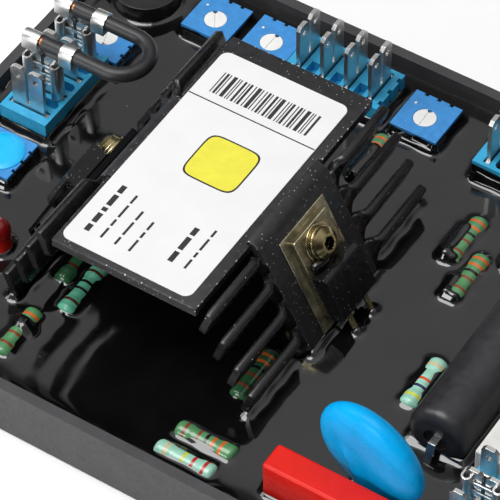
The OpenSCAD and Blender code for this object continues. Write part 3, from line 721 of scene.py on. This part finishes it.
class REGULATOR_OT_heat_sink(bpy.types.Operator):
    """Folds the black sheet heat sink and twists its strips"""
    bl_idname = "regulator.heat_sink"
    bl_label = "Heat sink"

    def execute(self, context):
        sheet, strips = self.sheet(), self.strips()
        black = Finish("Black sheet", hues().sheet, 0.40).gloss(1.4).mottle(0.25, 1.6).uneven(0.12, 0.9)
        black.grain(0.4, 0.22, 0.03).specks(0.55, 0.6, 0.12)
        # the bevelled edges get a paler copy of the sheet: painted highlight, with dust specks
        edge_dust_and_sheen = self.edge_finish("Worn sheet edge", 1.8, 0.34, 0.9).specks(0.5, 0.7, 0.24, (0.60, 0.59, 0.57))
        settle(sheet, black.done(), ["heat_sink"], edge_dust_and_sheen.done())
        # the strips are the same black sheet, painted darker as shade; their bevels get a paler painted
        # highlight
        strip = Finish("Black strip", shade(hues().sheet, 0.4), 0.26).mottle(0.3, 2.5).uneven(0.08, 1.0)
        strip.grain(0.2, 0.3, 0.02).specks(0.10, 1.2, 0.07)
        rim = self.edge_finish("Strip edge", 0.8, 0.32, 0.6).specks(0.3, 0.8, 0.14)
        settle(strips, strip.done(), (), rim.done())
        return {"FINISHED"}

    def edge_finish(self, name, pale, rough, mottle):
        # a copy of the sheet's colour, scaled by pale, for bevels: a painted highlight, paler than the faces
        # beside it
        finish = Finish(name, shade(hues().sheet, pale), rough).gloss(1.4)
        return finish.mottle(mottle, 0.9).uneven(0.10, 0.6).grain(0.3, 0.2, 0.02)

    def sheet(self):
        """The plate, cut back beside its flaps, and the two bent flaps."""
        k = sink_shape()
        half, edge, gap, far = PLATE_W / 2, BEND_AT, FLAP_W / 2 + FLAP_GAP, k["l"] / 2
        right = [(half, -far), (half, -gap), (edge, -gap), (edge, gap), (half, gap), (half, far)]
        outline = [(-half, -far)] + right + [(-a, b) for a, b in right[:0:-1]]
        parts = [prism(outline, k["top"] - SHEET_T, k["top"], upright(k["x"], k["y"]))]
        arc = [math.radians(90 - (90 - FLAP_LEAN) * q / BEND_STEPS) for q in range(BEND_STEPS + 1)]
        level = k["top"] - BEND_R
        outer, inner = [[(edge + r * math.cos(a), level + r * math.sin(a)) for a in arc]
                        for r in (BEND_R, BEND_R - SHEET_T)]
        feet = [(x + (z - k["foot"]) * math.tan(k["lean"]), k["foot"]) for x, z in (outer[-1], inner[-1])]
        section = [(edge - FLAP_LAP, k["top"])] + outer + feet + inner[::-1]
        section.append((edge - FLAP_LAP, k["top"] - SHEET_T))
        for side in (1, -1):
            parts.append(prism(section, -FLAP_W / 2, FLAP_W / 2,
                               lambda a, b, d, s=side: (k["x"] + s * a, k["y"] + d, b)))
        sheet = mesh_object("heat_sink_sheet", *gather(parts))
        round_edges(sheet, 0.22, angle=32.0)
        return sheet

    def strips(self):
        """The strips beside both flaps, with their narrow bevels marked for the second finish, a painted
        highlight.
        """
        k = sink_shape()
        ends = [(side, end) for side in (1, -1) for end in (1, -1)]
        strips = [loft(strip_rings(k, side, end, i)) for side, end in ends for i in range(STRIPS)]
        piece = mesh_object("heat_sink_strips", *gather(strips), sharp=50.0)
        per_strip = len(strips[0][1])
        for n, polygon in enumerate(piece.data.polygons):
            place = n % per_strip - 2
            polygon.material_index = 1 if place >= 0 and place % 2 else 0
        bm = bmesh.new()
        bm.from_mesh(piece.data)
        bmesh.ops.recalc_face_normals(bm, faces=bm.faces)
        bm.to_mesh(piece.data)
        bm.free()
        return piece


INK_T, FIELD_T, FIELD_AT, FIELD_HALF, FIELD_LINE = 0.02, 0.03, (14.0, 27.5), 5.0, 0.3
FIELD_STEPS, FIELD_ROUND = 64, 0.35
LINE_INSET, LINE_FROM_END, STRIPES_INSET, STRIPES_FROM_END = 0.1, (11.6, 11.35), (3.0, 3.2), (9.6, 4.4)
STRIPE_WIDTHS, STRIPE_GAPS = (0.2, 0.45, 0.2, 0.7, 0.2, 0.2, 0.45), (0.35, 0.25, 0.5)
# rows of plain bars: place across the label, place along it, height and the bars' lengths
BAR_GAP = 0.6
BAR_ROWS = (
    (2.6, 3.2, 1.0, (1.6, 2.2, 0.9, 2.6, 1.8)), (5.8, 3.2, 0.45, (2.4, 1.6, 3.0, 2.0)),
    (8.6, 3.2, 0.45, (1.8, 3.2, 2.2)), (11.4, 3.2, 0.45, (2.8, 1.4, 2.0)),
    (18.0, 5.0, 1.0, (2.4, 3.0, 1.8)), (21.2, 5.0, 0.45, (2.2, 1.2, 2.8, 1.6)),
)


class REGULATOR_OT_label(bpy.types.Operator):
    """Finishes the white label and its plain print"""
    bl_idname = "regulator.label"
    bl_label = "Label"

    def execute(self, context):
        film = Finish("Label film", hues().label, 0.38).mottle(0.02, 6.0).uneven(0.06, 3.0)
        coat_node("sink_label", film.grain(0.08, 0.6, 0.01).done(), 0.04)
        (x0, y0, _), (x1, y1, z) = box_mm("sink_label")
        ink = []

        def patch(ax, ay, bx, by):
            ink.append(prism([(ax, ay), (bx, ay), (bx, by), (ax, by)], z, z + INK_T))

        patch(x0 + LINE_INSET, y1 - LINE_FROM_END[0], x1 - LINE_INSET, y1 - LINE_FROM_END[1])
        x, n = x0 + STRIPES_INSET[0], 0
        while x < x1 - STRIPES_INSET[1]:
            w = STRIPE_WIDTHS[n % len(STRIPE_WIDTHS)]
            patch(x, y1 - STRIPES_FROM_END[0], x + w, y1 - STRIPES_FROM_END[1])
            x += w + STRIPE_GAPS[n % len(STRIPE_GAPS)]
            n += 1
        for across, along, tall, bars in BAR_ROWS:
            y = y0 + along
            for w in bars:
                patch(x0 + across, y, x0 + across + tall, y + w)
                y += w + BAR_GAP

        def bent(v):
            return math.copysign(abs(v) ** FIELD_ROUND, v)

        def rounded(size):
            points = circle(0.0, 0.0, 1.0, FIELD_STEPS)
            return [(x0 + FIELD_AT[0] + size * bent(a), y0 + FIELD_AT[1] + size * bent(b)) for a, b in points]

        ink.append(prism(rounded(FIELD_HALF + FIELD_LINE), z, z + INK_T))
        black = Finish("Ink", hues().ink, 0.5).mottle(0.2, 1.0).uneven(0.08, 1.0)
        settle(mesh_object("label_print", *gather(ink)), black.done())
        field = mesh_object("label_field", *prism(rounded(FIELD_HALF), z, z + FIELD_T))
        yellow = Finish("Yellow field", hues().field, 0.42).mottle(0.05, 2.0).uneven(0.06, 1.0)
        settle(field, yellow.done())
        return {"FINISHED"}


# near black: the moulded bodies' own colour, the painted shade in the screws' sockets and the left device's
# darkening
NEAR_BLACK_AND_SHADE = (0.010, 0.010, 0.011)
# the plated metal turns near black between these places along x, over the left flap's device
DARKEN_FROM, DARKEN_TO = -22.0, -26.0
# side, place along the plate and place down the slope of the two screws' sockets, where painted shade darkens
# the heads
SOCKETS = ((1, 0.15, 6.2), (-1, 2.7, 12.9))
SOCKET_OUT, SOCKET_R = 3.4, 1.35
# middle and half sizes of the resin's drip: out of the flap, along the plate, down the slope
DRIP_AT, DRIP_HALF, DRIP_BEND = (2.2, -1.9, 8.9), (1.1, 2.4, 1.0), (0.3, 2.1)


class REGULATOR_OT_devices(bpy.types.Operator):
    """Finishes the two power devices with their pads, legs and fasteners, and adds a drip of resin"""
    bl_idname = "regulator.devices"
    bl_label = "Power devices"

    def execute(self, context):
        gold = hues().gold
        # paler metal on the bevels of pads, tabs, legs and fasteners: painted highlight along the edges
        bright = metal_finish("Bright edge", (0.80, 0.74, 0.55), 0.2)
        gold_edge_highlight = self.plated("Filmed edge", (0.86, 0.78, 0.55), 0.22, 1.0, (0.3, 1.0)).uneven(0.08, 1.0).done()
        pad = self.plated("Insulating pad", (0.37, 0.33, 0.22), 0.30, 0.7, (0.6, 2.4))
        coat_node("device_pads", pad.uneven(0.10, 1.5).grain(0.25, 0.5, 0.02).done(), 0.14, 2, gold_edge_highlight)
        tab = self.plated("Plated tab", (0.30, 0.26, 0.16), 0.28, 0.85, (0.3, 2.0))
        coat_node("device_tabs", tab.uneven(0.08, 1.2).grain(*METAL_GRAIN).done(), 0.20, 2, gold_edge_highlight)
        body = Finish("Moulded body", NEAR_BLACK_AND_SHADE, 0.22).gloss(1.4).mottle(0.2, 2.0).uneven(0.10, 1.0)
        body.grain(0.3, 0.3, 0.02).specks(0.5, 0.6, 0.10, (0.65, 0.65, 0.65))
        coat_node("device_bodies", body.done(), 0.25)
        legs = self.plated("Plated legs", gold, 0.28, 0.7, (0.12, 2.0))
        coat_node("device_legs", legs.uneven(0.08, 1.2).done(), 0.08, 2, gold_edge_highlight)
        brass = Finish("Yellow zinc", shade(gold, 0.95), 0.24, 1.0).mottle(0.15, 1.5)
        k = sink_shape()
        # painted shade: the brass turns near black round each screw's socket
        for side, y, slope in SOCKETS:
            brass.spot(flap_point(k, side, SOCKET_OUT, y, slope), SOCKET_R, NEAR_BLACK_AND_SHADE)
        brass.uneven(0.06, 1.2).grain(*METAL_GRAIN)
        for node in ("device_screws", "device_washers", "device_spring_washers", "device_nuts"):
            coat_node(node, brass.done(), 0.10, 2, bright)
        self.drip(k)
        return {"FINISHED"}

    def plated(self, name, colour, rough, metal, mottle):
        """A metal that turns near black past a line on the left flap's device."""
        return Finish(name, colour, rough, metal).mottle(*mottle).beyond(0, DARKEN_FROM, DARKEN_TO, NEAR_BLACK_AND_SHADE)

    def drip(self, k):
        """A bent, flattened drop of resin under the upright device's screw."""
        turns = np.linspace(0.15, math.pi - 0.15, 15)
        profile = [(0.0, -1.0)] + [(math.sin(t), -math.cos(t)) for t in turns] + [(0.0, 1.0)]
        verts, faces = lathe(profile, 28)
        verts = np.array(verts)
        places = verts * DRIP_HALF + DRIP_AT
        places[:, 2] += DRIP_BEND[0] * np.sin(DRIP_BEND[1] * verts[:, 1])
        piece = mesh_object("resin_drip", [flap_point(k, 1, *p) for p in places], faces, sharp=60.0)
        drop = Finish("Resin drip", hues().resin, 0.06).gloss(1.6).mottle(0.25, 3.0).uneven(0.03, 2.0)
        settle(piece, drop.grain(0.06, 0.8, 0.02).done())


# terminals

BARE_HEIGHT = {"left": 2.9, "far": 3.4, "right": 1.0, "low": 3.4}


class REGULATOR_OT_terminals(bpy.types.Operator):
    """Finishes the terminal blocks and their blades"""
    bl_idname = "regulator.terminals"
    bl_label = "Terminal blocks"

    def execute(self, context):
        tin = metal_finish("Tinned blade", shade(hues().silver, 0.92), 0.34)
        # the blades' bevels get a paler, glossier metal: painted highlight
        cut = metal_finish("Cut edge", (0.85, 0.84, 0.82), 0.16)
        for b, bare in BARE_HEIGHT.items():
            film = box_mm("block_" + b)[1][2] - bare
            plastic = moulded_finish("Block plastic " + b, hues().block, 0.32, 0.10, film)
            coat_node("block_" + b, plastic, sizes().edge / MM)
            coat_node("blades_" + b, tin, 0.10, 2, cut)
        return {"FINISHED"}


def sheet_outline(path, thick):
    """Outline of a bent sheet whose middle follows a path of (x, y) points."""
    path = np.array(path)
    run = np.gradient(path, axis=0)
    run /= np.linalg.norm(run, axis=1)[:, None]
    across = np.stack([-run[:, 1], run[:, 0]], -1) * thick / 2
    return [tuple(q) for q in np.vstack([path + across, (path - across)[::-1]])]


GRIP_HALF, GRIP_BACK, GRIP_T, GRIP_TALL = 3.65, 0.75, 0.4, 8.0
ROLL_R, ROLL_Y, ROLL_TURN, ROLL_STEPS = 0.75, -0.9, 235.0, 24
BAR_HALF, BAR_Y, BAR_TALL, BAR_LEVELS = 2.4, (-0.95, -0.65), 0.45, (2.2, 4.3, 6.4)
FLAG = ((-3.85, 6.0), (2.0, 6.0), (3.6, 8.8), (7.2, 8.8), (7.2, 10.4), (-3.85, 10.4))
# start, end and radius of the two crimps, and the levels of their foot and axis
CRIMPS, CRIMP_FOOT, CRIMP_AXIS = ((-3.6, -0.3, 1.45), (4.5, 7.2, 1.8)), 9.9, 11.8
# receptacles: node, whether it has a crimped flag, and its blade's place from the near side of the node's box
RECEPTACLES = (("receptacle_1", True, 1.85), ("receptacle_2", True, 1.85), ("receptacle_low", False, 0.95))
BLADE_FROM_LEFT = 3.85


def receptacle(x, y, low, tail):
    """A push-on receptacle round a blade: rolled edges, bars across and, with a tail, a crimped flag."""
    half, back = GRIP_HALF, GRIP_BACK
    turns = np.linspace(0.0, math.radians(ROLL_TURN), ROLL_STEPS)
    curl = [(half - ROLL_R + ROLL_R * math.cos(t), ROLL_Y - ROLL_R * math.sin(t)) for t in turns]
    path = curl[::-1] + [(half, 0.3), (half - 0.15, 0.6), (half - 0.45, back), (0.0, back)]
    path += [(-a, b) for a, b in path[-2::-1]]
    parts = [prism(sheet_outline(path, GRIP_T), low, low + GRIP_TALL, upright(x, y))]
    bar = [(-BAR_HALF, BAR_Y[0]), (BAR_HALF, BAR_Y[0]), (BAR_HALF, BAR_Y[1]), (-BAR_HALF, BAR_Y[1])]
    for up in BAR_LEVELS:
        parts.append(prism(bar, low + up, low + up + BAR_TALL, upright(x, y)))
    if tail:
        parts.append(prism(FLAG, back - GRIP_T / 2, back + GRIP_T / 2,
                           lambda a, b, d: (x + a, y + d, low + b)))
        for start, stop, r in CRIMPS:
            turns = np.linspace(0.1, math.pi - 0.1, 19)
            arch = [(r * math.cos(t), CRIMP_AXIS + r * math.sin(t)) for t in turns]
            arch = [(r, CRIMP_FOOT), (r, CRIMP_AXIS)] + arch + [(-r, CRIMP_AXIS), (-r, CRIMP_FOOT)]
            parts.append(prism(arch, start, stop, lambda a, b, d: (x + d, y + a, low + b)))
    return gather(parts)


class REGULATOR_OT_link(bpy.types.Operator):
    """Forms the receptacles and finishes the link wire and its cores"""
    bl_idname = "regulator.link"
    bl_label = "Link wire"

    def execute(self, context):
        tin = metal_finish("Tinned receptacle", hues().silver, 0.36)
        # the receptacles' bevels get a paler, glossier metal: painted highlight
        cut = metal_finish("Rolled edge", (0.90, 0.89, 0.87), 0.20)
        for node, tail, near in RECEPTACLES:
            low = box_mm(node)[0]
            formed = receptacle(low[0] + BLADE_FROM_LEFT, low[1] + near, low[2], tail)
            piece = mesh_object(node + "_formed", *formed, sharp=30.0)
            round_edges(piece, 0.08)
            settle(piece, tin, [node], cut)
        cover = Finish("Wire cover", (0.020, 0.020, 0.022), 0.40).mottle(0.2, 3.0).uneven(0.08, 1.5)
        coat_node("link_wire", cover.grain(0.15, 0.4, 0.015).specks(0.06, 1.4, 0.06).done(), 0.15)
        coat_node("link_cores", metal_finish("Copper", (0.62, 0.25, 0.10), 0.35), 0.1)
        return {"FINISHED"}


# trimmers

DOT_AT, DOT_AT_TURNED, DOT_R, DOT_FOOT, DOT_TOP = (-3.3, 1.9), (1.9, 3.3), 0.27, 0.3, 0.08
SEAL_FOOT = ((4.2, 0.0), (4.4, 0.15))
SEAL_TOP = ((4.4, -0.3), (4.2, -0.12), (2.8, -0.03), (0.6, 0.0))


class REGULATOR_OT_trimmers(bpy.types.Operator):
    """Finishes the trimmers and their rotors, and adds their dots and the poured seal"""
    bl_idname = "regulator.trimmers"
    bl_label = "Trimmers"

    def execute(self, context):
        top = box_mm("trimmer_1")[1][2]
        case = Finish("Trimmer case", hues().trimmer, 0.34).mottle(0.12, 1.5).uneven(0.08, 1.0)
        case.grain(*MOULDED_GRAIN).specks(0.45, 0.55, 0.10, (0.22, 0.48, 0.78)).wet(top - sizes().film / MM)
        white = moulded_finish("Rotor plastic", hues().rotor, 0.42, 0.04)
        dots = []
        for i, node in enumerate(TRIMMERS):
            coat_node(node, case.done(), 0.18)
            coat_node("rotor_%d" % (i + 1), white, 0.08)
            low, high = box_mm(node)
            c = (low + high) / 2
            dx, dy = DOT_AT_TURNED if node in TURNED_TRIMMERS else DOT_AT
            dots.append(prism(circle(c[0] + dx, c[1] + dy, DOT_R, 24), top - DOT_FOOT, top - DOT_TOP))
        marks = mesh_object("trimmer_marks", *gather(dots))
        round_edges(marks, 0.05)
        settle(marks, white, (), white)
        low, high = box_mm("trimmer_seal")
        c = (low + high) / 2
        levels = [(r, low[2] + up) for r, up in SEAL_FOOT] + [(r, high[2] + up) for r, up in SEAL_TOP]
        rings = [[(x, y, z) for x, y in circle(c[0], c[1], r, 48)] for r, z in levels]
        lacquer = Finish("Seal lacquer", hues().seal, 0.34).mottle(0.05, 2.0).uneven(0.08, 1.0)
        seal = mesh_object("seal_poured", *loft(rings), sharp=60.0)
        settle(seal, lacquer.grain(0.1, 0.8, 0.02).done(), ["trimmer_seal"])
        return {"FINISHED"}


# resistors

ORANGE, BROWN, BLACK = (0.60, 0.13, 0.02), (0.085, 0.018, 0.010), (0.010, 0.008, 0.010)
YELLOW, NAVY, RUST = (0.62, 0.62, 0.05), (0.020, 0.022, 0.09), (0.22, 0.050, 0.020)
TAN, RED, FLAME = (0.62, 0.47, 0.26), (0.50, 0.020, 0.020), (0.60, 0.075, 0.012)
# the darker green is resistor 3's body under a film of resin, and painted shade on resistor 6, which lies in
# shade
DARK_GREEN_AND_SHADE, MID_GREEN = (0.028, 0.110, 0.045), (0.085, 0.260, 0.105)
LIGHT_GREEN, PALE_GREEN = (0.120, 0.460, 0.300), (0.330, 0.640, 0.500)
FIVE_BANDS = ((0.19, RUST), (0.42, RUST), (0.57, BLACK), (0.70, ORANGE), (0.83, ORANGE))
BAND_W = 0.05
# body colour, then the place and colour of each band; places and band width are parts of the length
RESISTOR_LOOK = {
    1: (MID_GREEN, ((0.18, RUST), (0.40, RUST), (0.60, BROWN), (0.80, ORANGE))),
    2: (LIGHT_GREEN, ((0.17, BROWN), (0.43, BLACK), (0.58, BLACK), (0.80, BROWN))),
    3: (DARK_GREEN_AND_SHADE, ((0.30, BROWN), (0.58, BLACK), (0.80, RUST))),
    4: (MID_GREEN, ((0.14, RUST), (0.36, RUST), (0.49, BLACK), (0.60, ORANGE), (0.75, ORANGE))),
    5: (PALE_GREEN, ((0.17, TAN), (0.46, YELLOW), (0.62, RED), (0.81, RED))),
    # resistor 6's dark body is painted shade
    6: (DARK_GREEN_AND_SHADE, FIVE_BANDS),
    7: (PALE_GREEN, ((0.16, YELLOW), (0.35, NAVY), (0.50, FLAME), (0.80, TAN))),
    8: (MID_GREEN, FIVE_BANDS),
    9: (MID_GREEN, FIVE_BANDS),
    10: (MID_GREEN, FIVE_BANDS),
}
CAP_L, CAP_SLOPE, WAIST, NOSE_L, NOSE_ROUND = 2.4, 1.2, 0.09, 1.0, 0.62
PROFILE_STEPS, PROFILE_SHARE = 60, 0.999


def resistor_profile(r, half):
    """Radius along a lacquered resistor: two full caps with round noses and a thinner waist between them."""
    profile = [(0.0, -half)]
    for q in range(PROFILE_STEPS + 1):
        a = -1 + 2 * q / PROFILE_STEPS
        rest = half - abs(a) * half
        waist = 1.0 - ease((CAP_L + CAP_SLOPE - rest) / CAP_SLOPE) if rest > CAP_L else 0.0
        radius = r * (1 - WAIST * waist)
        if rest < NOSE_L:
            radius *= math.sqrt(max(0.0, 1 - (1 - rest) ** 2)) * NOSE_ROUND + 1 - NOSE_ROUND
        profile.append((radius, a * half * PROFILE_SHARE))
    return profile + [(0.0, half)]


class REGULATOR_OT_resistors(bpy.types.Operator):
    """Turns the lacquered resistors with their colour bands"""
    bl_idname = "regulator.resistors"
    bl_label = "Resistors"

    def execute(self, context):
        for i, (body, bands) in RESISTOR_LOOK.items():
            node = "resistor_%d" % i
            low, high = box_mm(node)
            c, size = (low + high) / 2, high - low
            along_x = size[0] > size[1]
            verts, faces = lathe(resistor_profile(size[2] / 2, max(size[0], size[1]) / 2), 36)
            verts = [c + ((b, -a, d) if along_x else (a, b, d)) for a, b, d in verts]
            piece = mesh_object(node + "_lacquered", verts, faces, sharp=50.0)
            stops = [(0.0, body)]
            for place, band in bands:
                stops += [(place, band), (place + BAND_W, body)]
            mat = Finish("Lacquer %d" % i, body, 0.22).stripes(0 if along_x else 1, stops).mottle(0.14, 1.5)
            mat.uneven(0.08, 1.0).grain(0.12, 0.5, 0.02).coat(0.5, 0.06)
            settle(piece, mat.done(), [node])
        return {"FINISHED"}


# other components

# the lenses run from bright red just over the resin to dark red under the top: painted light gathered at the
# foot of the dome
LENS_LOW, LENS_HIGH = 0.6, 1.5
DISC_HALF_T, DISC_LEAN, DISC_TURN, DISC_STEPS, DISC_FULL = 2.6, 5.0, -9.0, 96, 5
# the ridge of a lead under the disc's dip: where it starts, which way it runs, its height and its width
RIDGE_START, RIDGE_RUN, RIDGE_UP, RIDGE_W, RIDGE_WIDEN = (-4.4, 2.4), (6.1, -12.6), 0.55, 0.75, 0.05
RIDGE_FADE, RIDGE_FROM_RIM, RIDGE_FROM_MIDDLE = 4.0, 1.2, 0.6


class REGULATOR_OT_components(bpy.types.Operator):
    """Finishes the capacitors, the ceramic block, the can and the lamps, and forms the disc"""
    bl_idname = "regulator.components"
    bl_label = "Components"

    def execute(self, context):
        dip = Finish("Red dip", hues().red, 0.34).gloss(1.3).mottle(0.06, 2.5).uneven(0.08, 1.0)
        coat_node("film_capacitor", dip.grain(*MOULDED_GRAIN).done(), 0.6, 4)
        leads = metal_finish("Tinned lead", hues().silver, 0.3)
        coat_node("varistor_leads", leads)
        coat_node("axial_leads", leads, 0.06)
        sleeve = Finish("Black sleeve", (0.028, 0.028, 0.031), 0.34).mottle(0.25, 3.0).uneven(0.08, 1.5)
        coat_node("axial_capacitor", sleeve.grain(0.25, 0.5, 0.03).done())
        ceramic = Finish("Ceramic", (0.74, 0.73, 0.70), 0.7).mottle(0.06, 1.5).uneven(0.08, 1.0)
        coat_node("ceramic_resistor", ceramic.grain(0.4, 0.3, 0.04).done(), 0.35, 3)
        can = Finish("Black can", (0.014, 0.014, 0.015), 0.30).mottle(0.2, 2.0).uneven(0.08, 1.0)
        coat_node("round_can", can.grain(0.15, 0.4, 0.02).done(), 0.3, 3)
        foot, crown = box_mm("potting_resin")[1][2] + LENS_LOW, box_mm("lamp_left")[1][2] - LENS_HIGH
        # painted light: bright red at the foot, dark red at the crown, as light gathers in the bottom of the
        # dome
        lens = Finish("Red lens", (0.80, 0.020, 0.008), 0.12).beyond(2, foot, crown, (0.16, 0.004, 0.004))
        lens.mottle(0.1, 1.5).uneven(0.04, 1.0).coat(0.6, 0.05)
        for node in ("lamp_left", "lamp_right"):
            coat_node(node, lens.done())
        self.disc()
        return {"FINISHED"}

    def disc(self):
        """The dipped disc: flat faces, a full round rim and the ridge of a lead on either face."""
        low, high = box_mm("disc_varistor")
        centre = (low + high) / 2
        r, t = (high[2] - low[2]) / 2, DISC_HALF_T
        turns = [q * math.pi / DISC_STEPS for q in range(2, DISC_STEPS // 2 + 1)]
        side = [(r * math.sin(q), t * math.sqrt(max(0.0, 1 - math.sin(q) ** DISC_FULL))) for q in turns]
        profile = [(0.0, -t)] + [(a, -b) for a, b in side] + side[-2::-1] + [(0.0, t)]
        verts, faces = lathe(profile, 120)
        lean, turned = math.radians(DISC_LEAN), math.radians(DISC_TURN)
        run = np.array(RIDGE_RUN) / math.hypot(*RIDGE_RUN)
        out = []
        for x, y, z in verts:
            face = math.copysign(1.0, y)
            place = np.array((-face * x, z)) - RIDGE_START
            along, across = float(place @ run), float(place[0] * run[1] - place[1] * run[0])
            if abs(y) > RIDGE_FROM_MIDDLE:
                width = RIDGE_W + RIDGE_WIDEN * max(0.0, along)
                fade = ease(along / RIDGE_FADE) * ease((r - math.hypot(x, z)) / RIDGE_FROM_RIM)
                y += face * RIDGE_UP * math.exp(-(across / width) ** 2) * fade
            up, back = y * math.sin(lean) + z * math.cos(lean), y * math.cos(lean) - z * math.sin(lean)
            out.append(centre + (x * math.cos(turned) - back * math.sin(turned),
                                 x * math.sin(turned) + back * math.cos(turned), up))
        piece = mesh_object("disc_dipped", out, faces, sharp=60.0)
        dip = Finish("Blue dip", hues().disc, 0.30).gloss(1.22).mottle(0.08, 4.0).uneven(0.06, 2.0)
        dip.grain(0.2, 1.2, 0.04).specks(0.05, 1.6, 0.07, (0.004, 0.08, 0.16))
        settle(piece, dip.done(), ["disc_varistor"])


# stage

FLOOR_HALF, FLOOR_DROP_METRES = 3000, 0.0002
CAMERA_PLACE_METRES, SENSOR_W, CLIP_START_METRES = (0.19926, -0.32422, 0.4609), 36.0, 0.01
# each light's name, which is also its setting's, and its size and place in metres
LIGHTS = (
    ("key", 0.60, (-0.22, -0.20, 0.95)), ("fill", 0.40, (-0.65, -0.20, 0.55)),
    ("front", 0.35, (-0.25, -0.80, 0.30)),
)
# brightness of the sky from straight down to straight up, and how it is dimmed towards the near side
SKY_STOPS = ((0.0, 0.04), (0.5, 0.05), (0.62, 0.09), (0.71, 0.27), (0.8, 0.32), (1.0, 0.45))
NEAR_SIDE = (0.553, -0.834, 0.0)
NEAR_DIM = (("From Min", -0.2), ("From Max", 0.8), ("To Min", 1.0), ("To Max", 0.25))


def stand(thing, right, up, back, place):
    """Brings an object into the scene with the given axes, at a place in metres."""
    rows = [list(map(float, row)) for row in zip(right, up, back, place)]
    bpy.context.scene.collection.objects.link(thing)
    thing.matrix_world = Matrix(rows + [[0.0, 0.0, 0.0, 1.0]])


class REGULATOR_OT_stage(bpy.types.Operator):
    """Sets the pale floor, the soft light and the camera"""
    bl_idname = "regulator.stage"
    bl_label = "Stage"

    def execute(self, context):
        s = context.scene.regulator_stage
        h = FLOOR_HALF
        floor = mesh_object("floor", [(-h, -h, 0), (h, -h, 0), (h, h, 0), (-h, h, 0)], [[0, 1, 2, 3]])
        floor.location.z = -FLOOR_DROP_METRES
        pale = Finish("Pale floor", s.floor, 0.8).mottle(0.01, 80.0).uneven(0.05, 50.0)
        floor.data.materials.append(pale.done())
        context.scene.world = self.studio(s.sky)
        for name, size, place in LIGHTS:
            self.light(name + "_light", place, getattr(s, name), size)
        context.scene.camera = self.camera(s)
        context.scene.view_settings.view_transform = "Standard"
        return {"FINISHED"}

    def camera(self, s):
        camera = bpy.data.objects.new("camera", bpy.data.cameras.new("camera"))
        camera.data.lens = s.lens
        camera.data.sensor_width = SENSOR_W
        camera.data.clip_start = CLIP_START_METRES
        flat = np.array((math.cos(s.azimuth), math.sin(s.azimuth), 0.0))
        away = np.array((math.sin(s.azimuth), -math.cos(s.azimuth), 0.0))
        back = away * math.cos(s.elevation) + np.array((0.0, 0.0, math.sin(s.elevation)))
        tall = np.cross(back, flat)
        right = math.cos(s.roll) * flat + math.sin(s.roll) * tall
        up = -math.sin(s.roll) * flat + math.cos(s.roll) * tall
        stand(camera, right, up, back, CAMERA_PLACE_METRES)
        return camera

    def studio(self, strength):
        """Soft light all round: bright overhead, dim towards the floor and on the near side."""
        world = bpy.data.worlds.new("Studio")
        world.use_nodes = True
        nodes, link = world.node_tree.nodes, world.node_tree.links.new
        coords = nodes.new("ShaderNodeTexCoord")
        split = nodes.new("ShaderNodeSeparateXYZ")
        link(coords.outputs["Generated"], split.inputs[0])
        ramp = nodes.new("ShaderNodeValToRGB")
        fill_ramp(ramp, [(place, (level, level, level)) for place, level in SKY_STOPS])
        link(split.outputs[2], ramp.inputs["Fac"])
        near = nodes.new("ShaderNodeVectorMath")
        near.operation = "DOT_PRODUCT"
        near.inputs[1].default_value = NEAR_SIDE
        link(coords.outputs["Generated"], near.inputs[0])
        dim = nodes.new("ShaderNodeMapRange")
        for socket, value in NEAR_DIM:
            dim.inputs[socket].default_value = value
        link(near.outputs["Value"], dim.inputs["Value"])
        scale = nodes.new("ShaderNodeVectorMath")
        scale.operation = "SCALE"
        link(ramp.outputs["Color"], scale.inputs[0])
        link(dim.outputs["Result"], scale.inputs["Scale"])
        sky = nodes["Background"]
        sky.inputs["Strength"].default_value = strength
        link(scale.outputs[0], sky.inputs["Color"])
        return world

    def light(self, name, place, watts, size):
        """A square soft light that faces the origin."""
        data = bpy.data.lights.new(name, "AREA")
        data.energy = watts
        data.size = size
        away = np.array(place) / np.linalg.norm(place)
        side = np.cross((0.0, 0.0, 1.0), away)
        side = side / np.linalg.norm(side)
        stand(bpy.data.objects.new(name, data), side, np.cross(away, side), away, place)


OPERATORS = (
    REGULATOR_OT_tray, REGULATOR_OT_resin, REGULATOR_OT_heat_sink, REGULATOR_OT_label, REGULATOR_OT_devices,
    REGULATOR_OT_terminals, REGULATOR_OT_link, REGULATOR_OT_trimmers, REGULATOR_OT_resistors,
    REGULATOR_OT_components, REGULATOR_OT_stage,
)
GROUPS = (
    (RegulatorColours, "regulator_colours"), (RegulatorSizes, "regulator_sizes"),
    (RegulatorStage, "regulator_stage"),
)


class REGULATOR_PT_panel(bpy.types.Panel):
    """Lists the regulator's settings and building steps"""
    bl_idname = "REGULATOR_PT_panel"
    bl_label = "Regulator"
    bl_space_type = "VIEW_3D"
    bl_region_type = "UI"
    bl_category = "Regulator"

    def draw(self, context):
        column = self.layout.column()
        for group, name in GROUPS:
            for setting in group.__annotations__:
                column.prop(getattr(context.scene, name), setting)
        for operator in OPERATORS:
            column.operator(operator.bl_idname)


def register():
    for group, name in GROUPS:
        bpy.utils.register_class(group)
        setattr(bpy.types.Scene, name, bpy.props.PointerProperty(type=group))
    for operator in OPERATORS:
        bpy.utils.register_class(operator)
    bpy.utils.register_class(REGULATOR_PT_panel)


def unregister():
    bpy.utils.unregister_class(REGULATOR_PT_panel)
    for operator in reversed(OPERATORS):
        bpy.utils.unregister_class(operator)
    for group, name in reversed(GROUPS):
        delattr(bpy.types.Scene, name)
        bpy.utils.unregister_class(group)


def main():
    register()
    for operator in OPERATORS:
        area, name = operator.bl_idname.split(".")
        getattr(getattr(bpy.ops, area), name)()


if __name__ == "__main__":
    main()
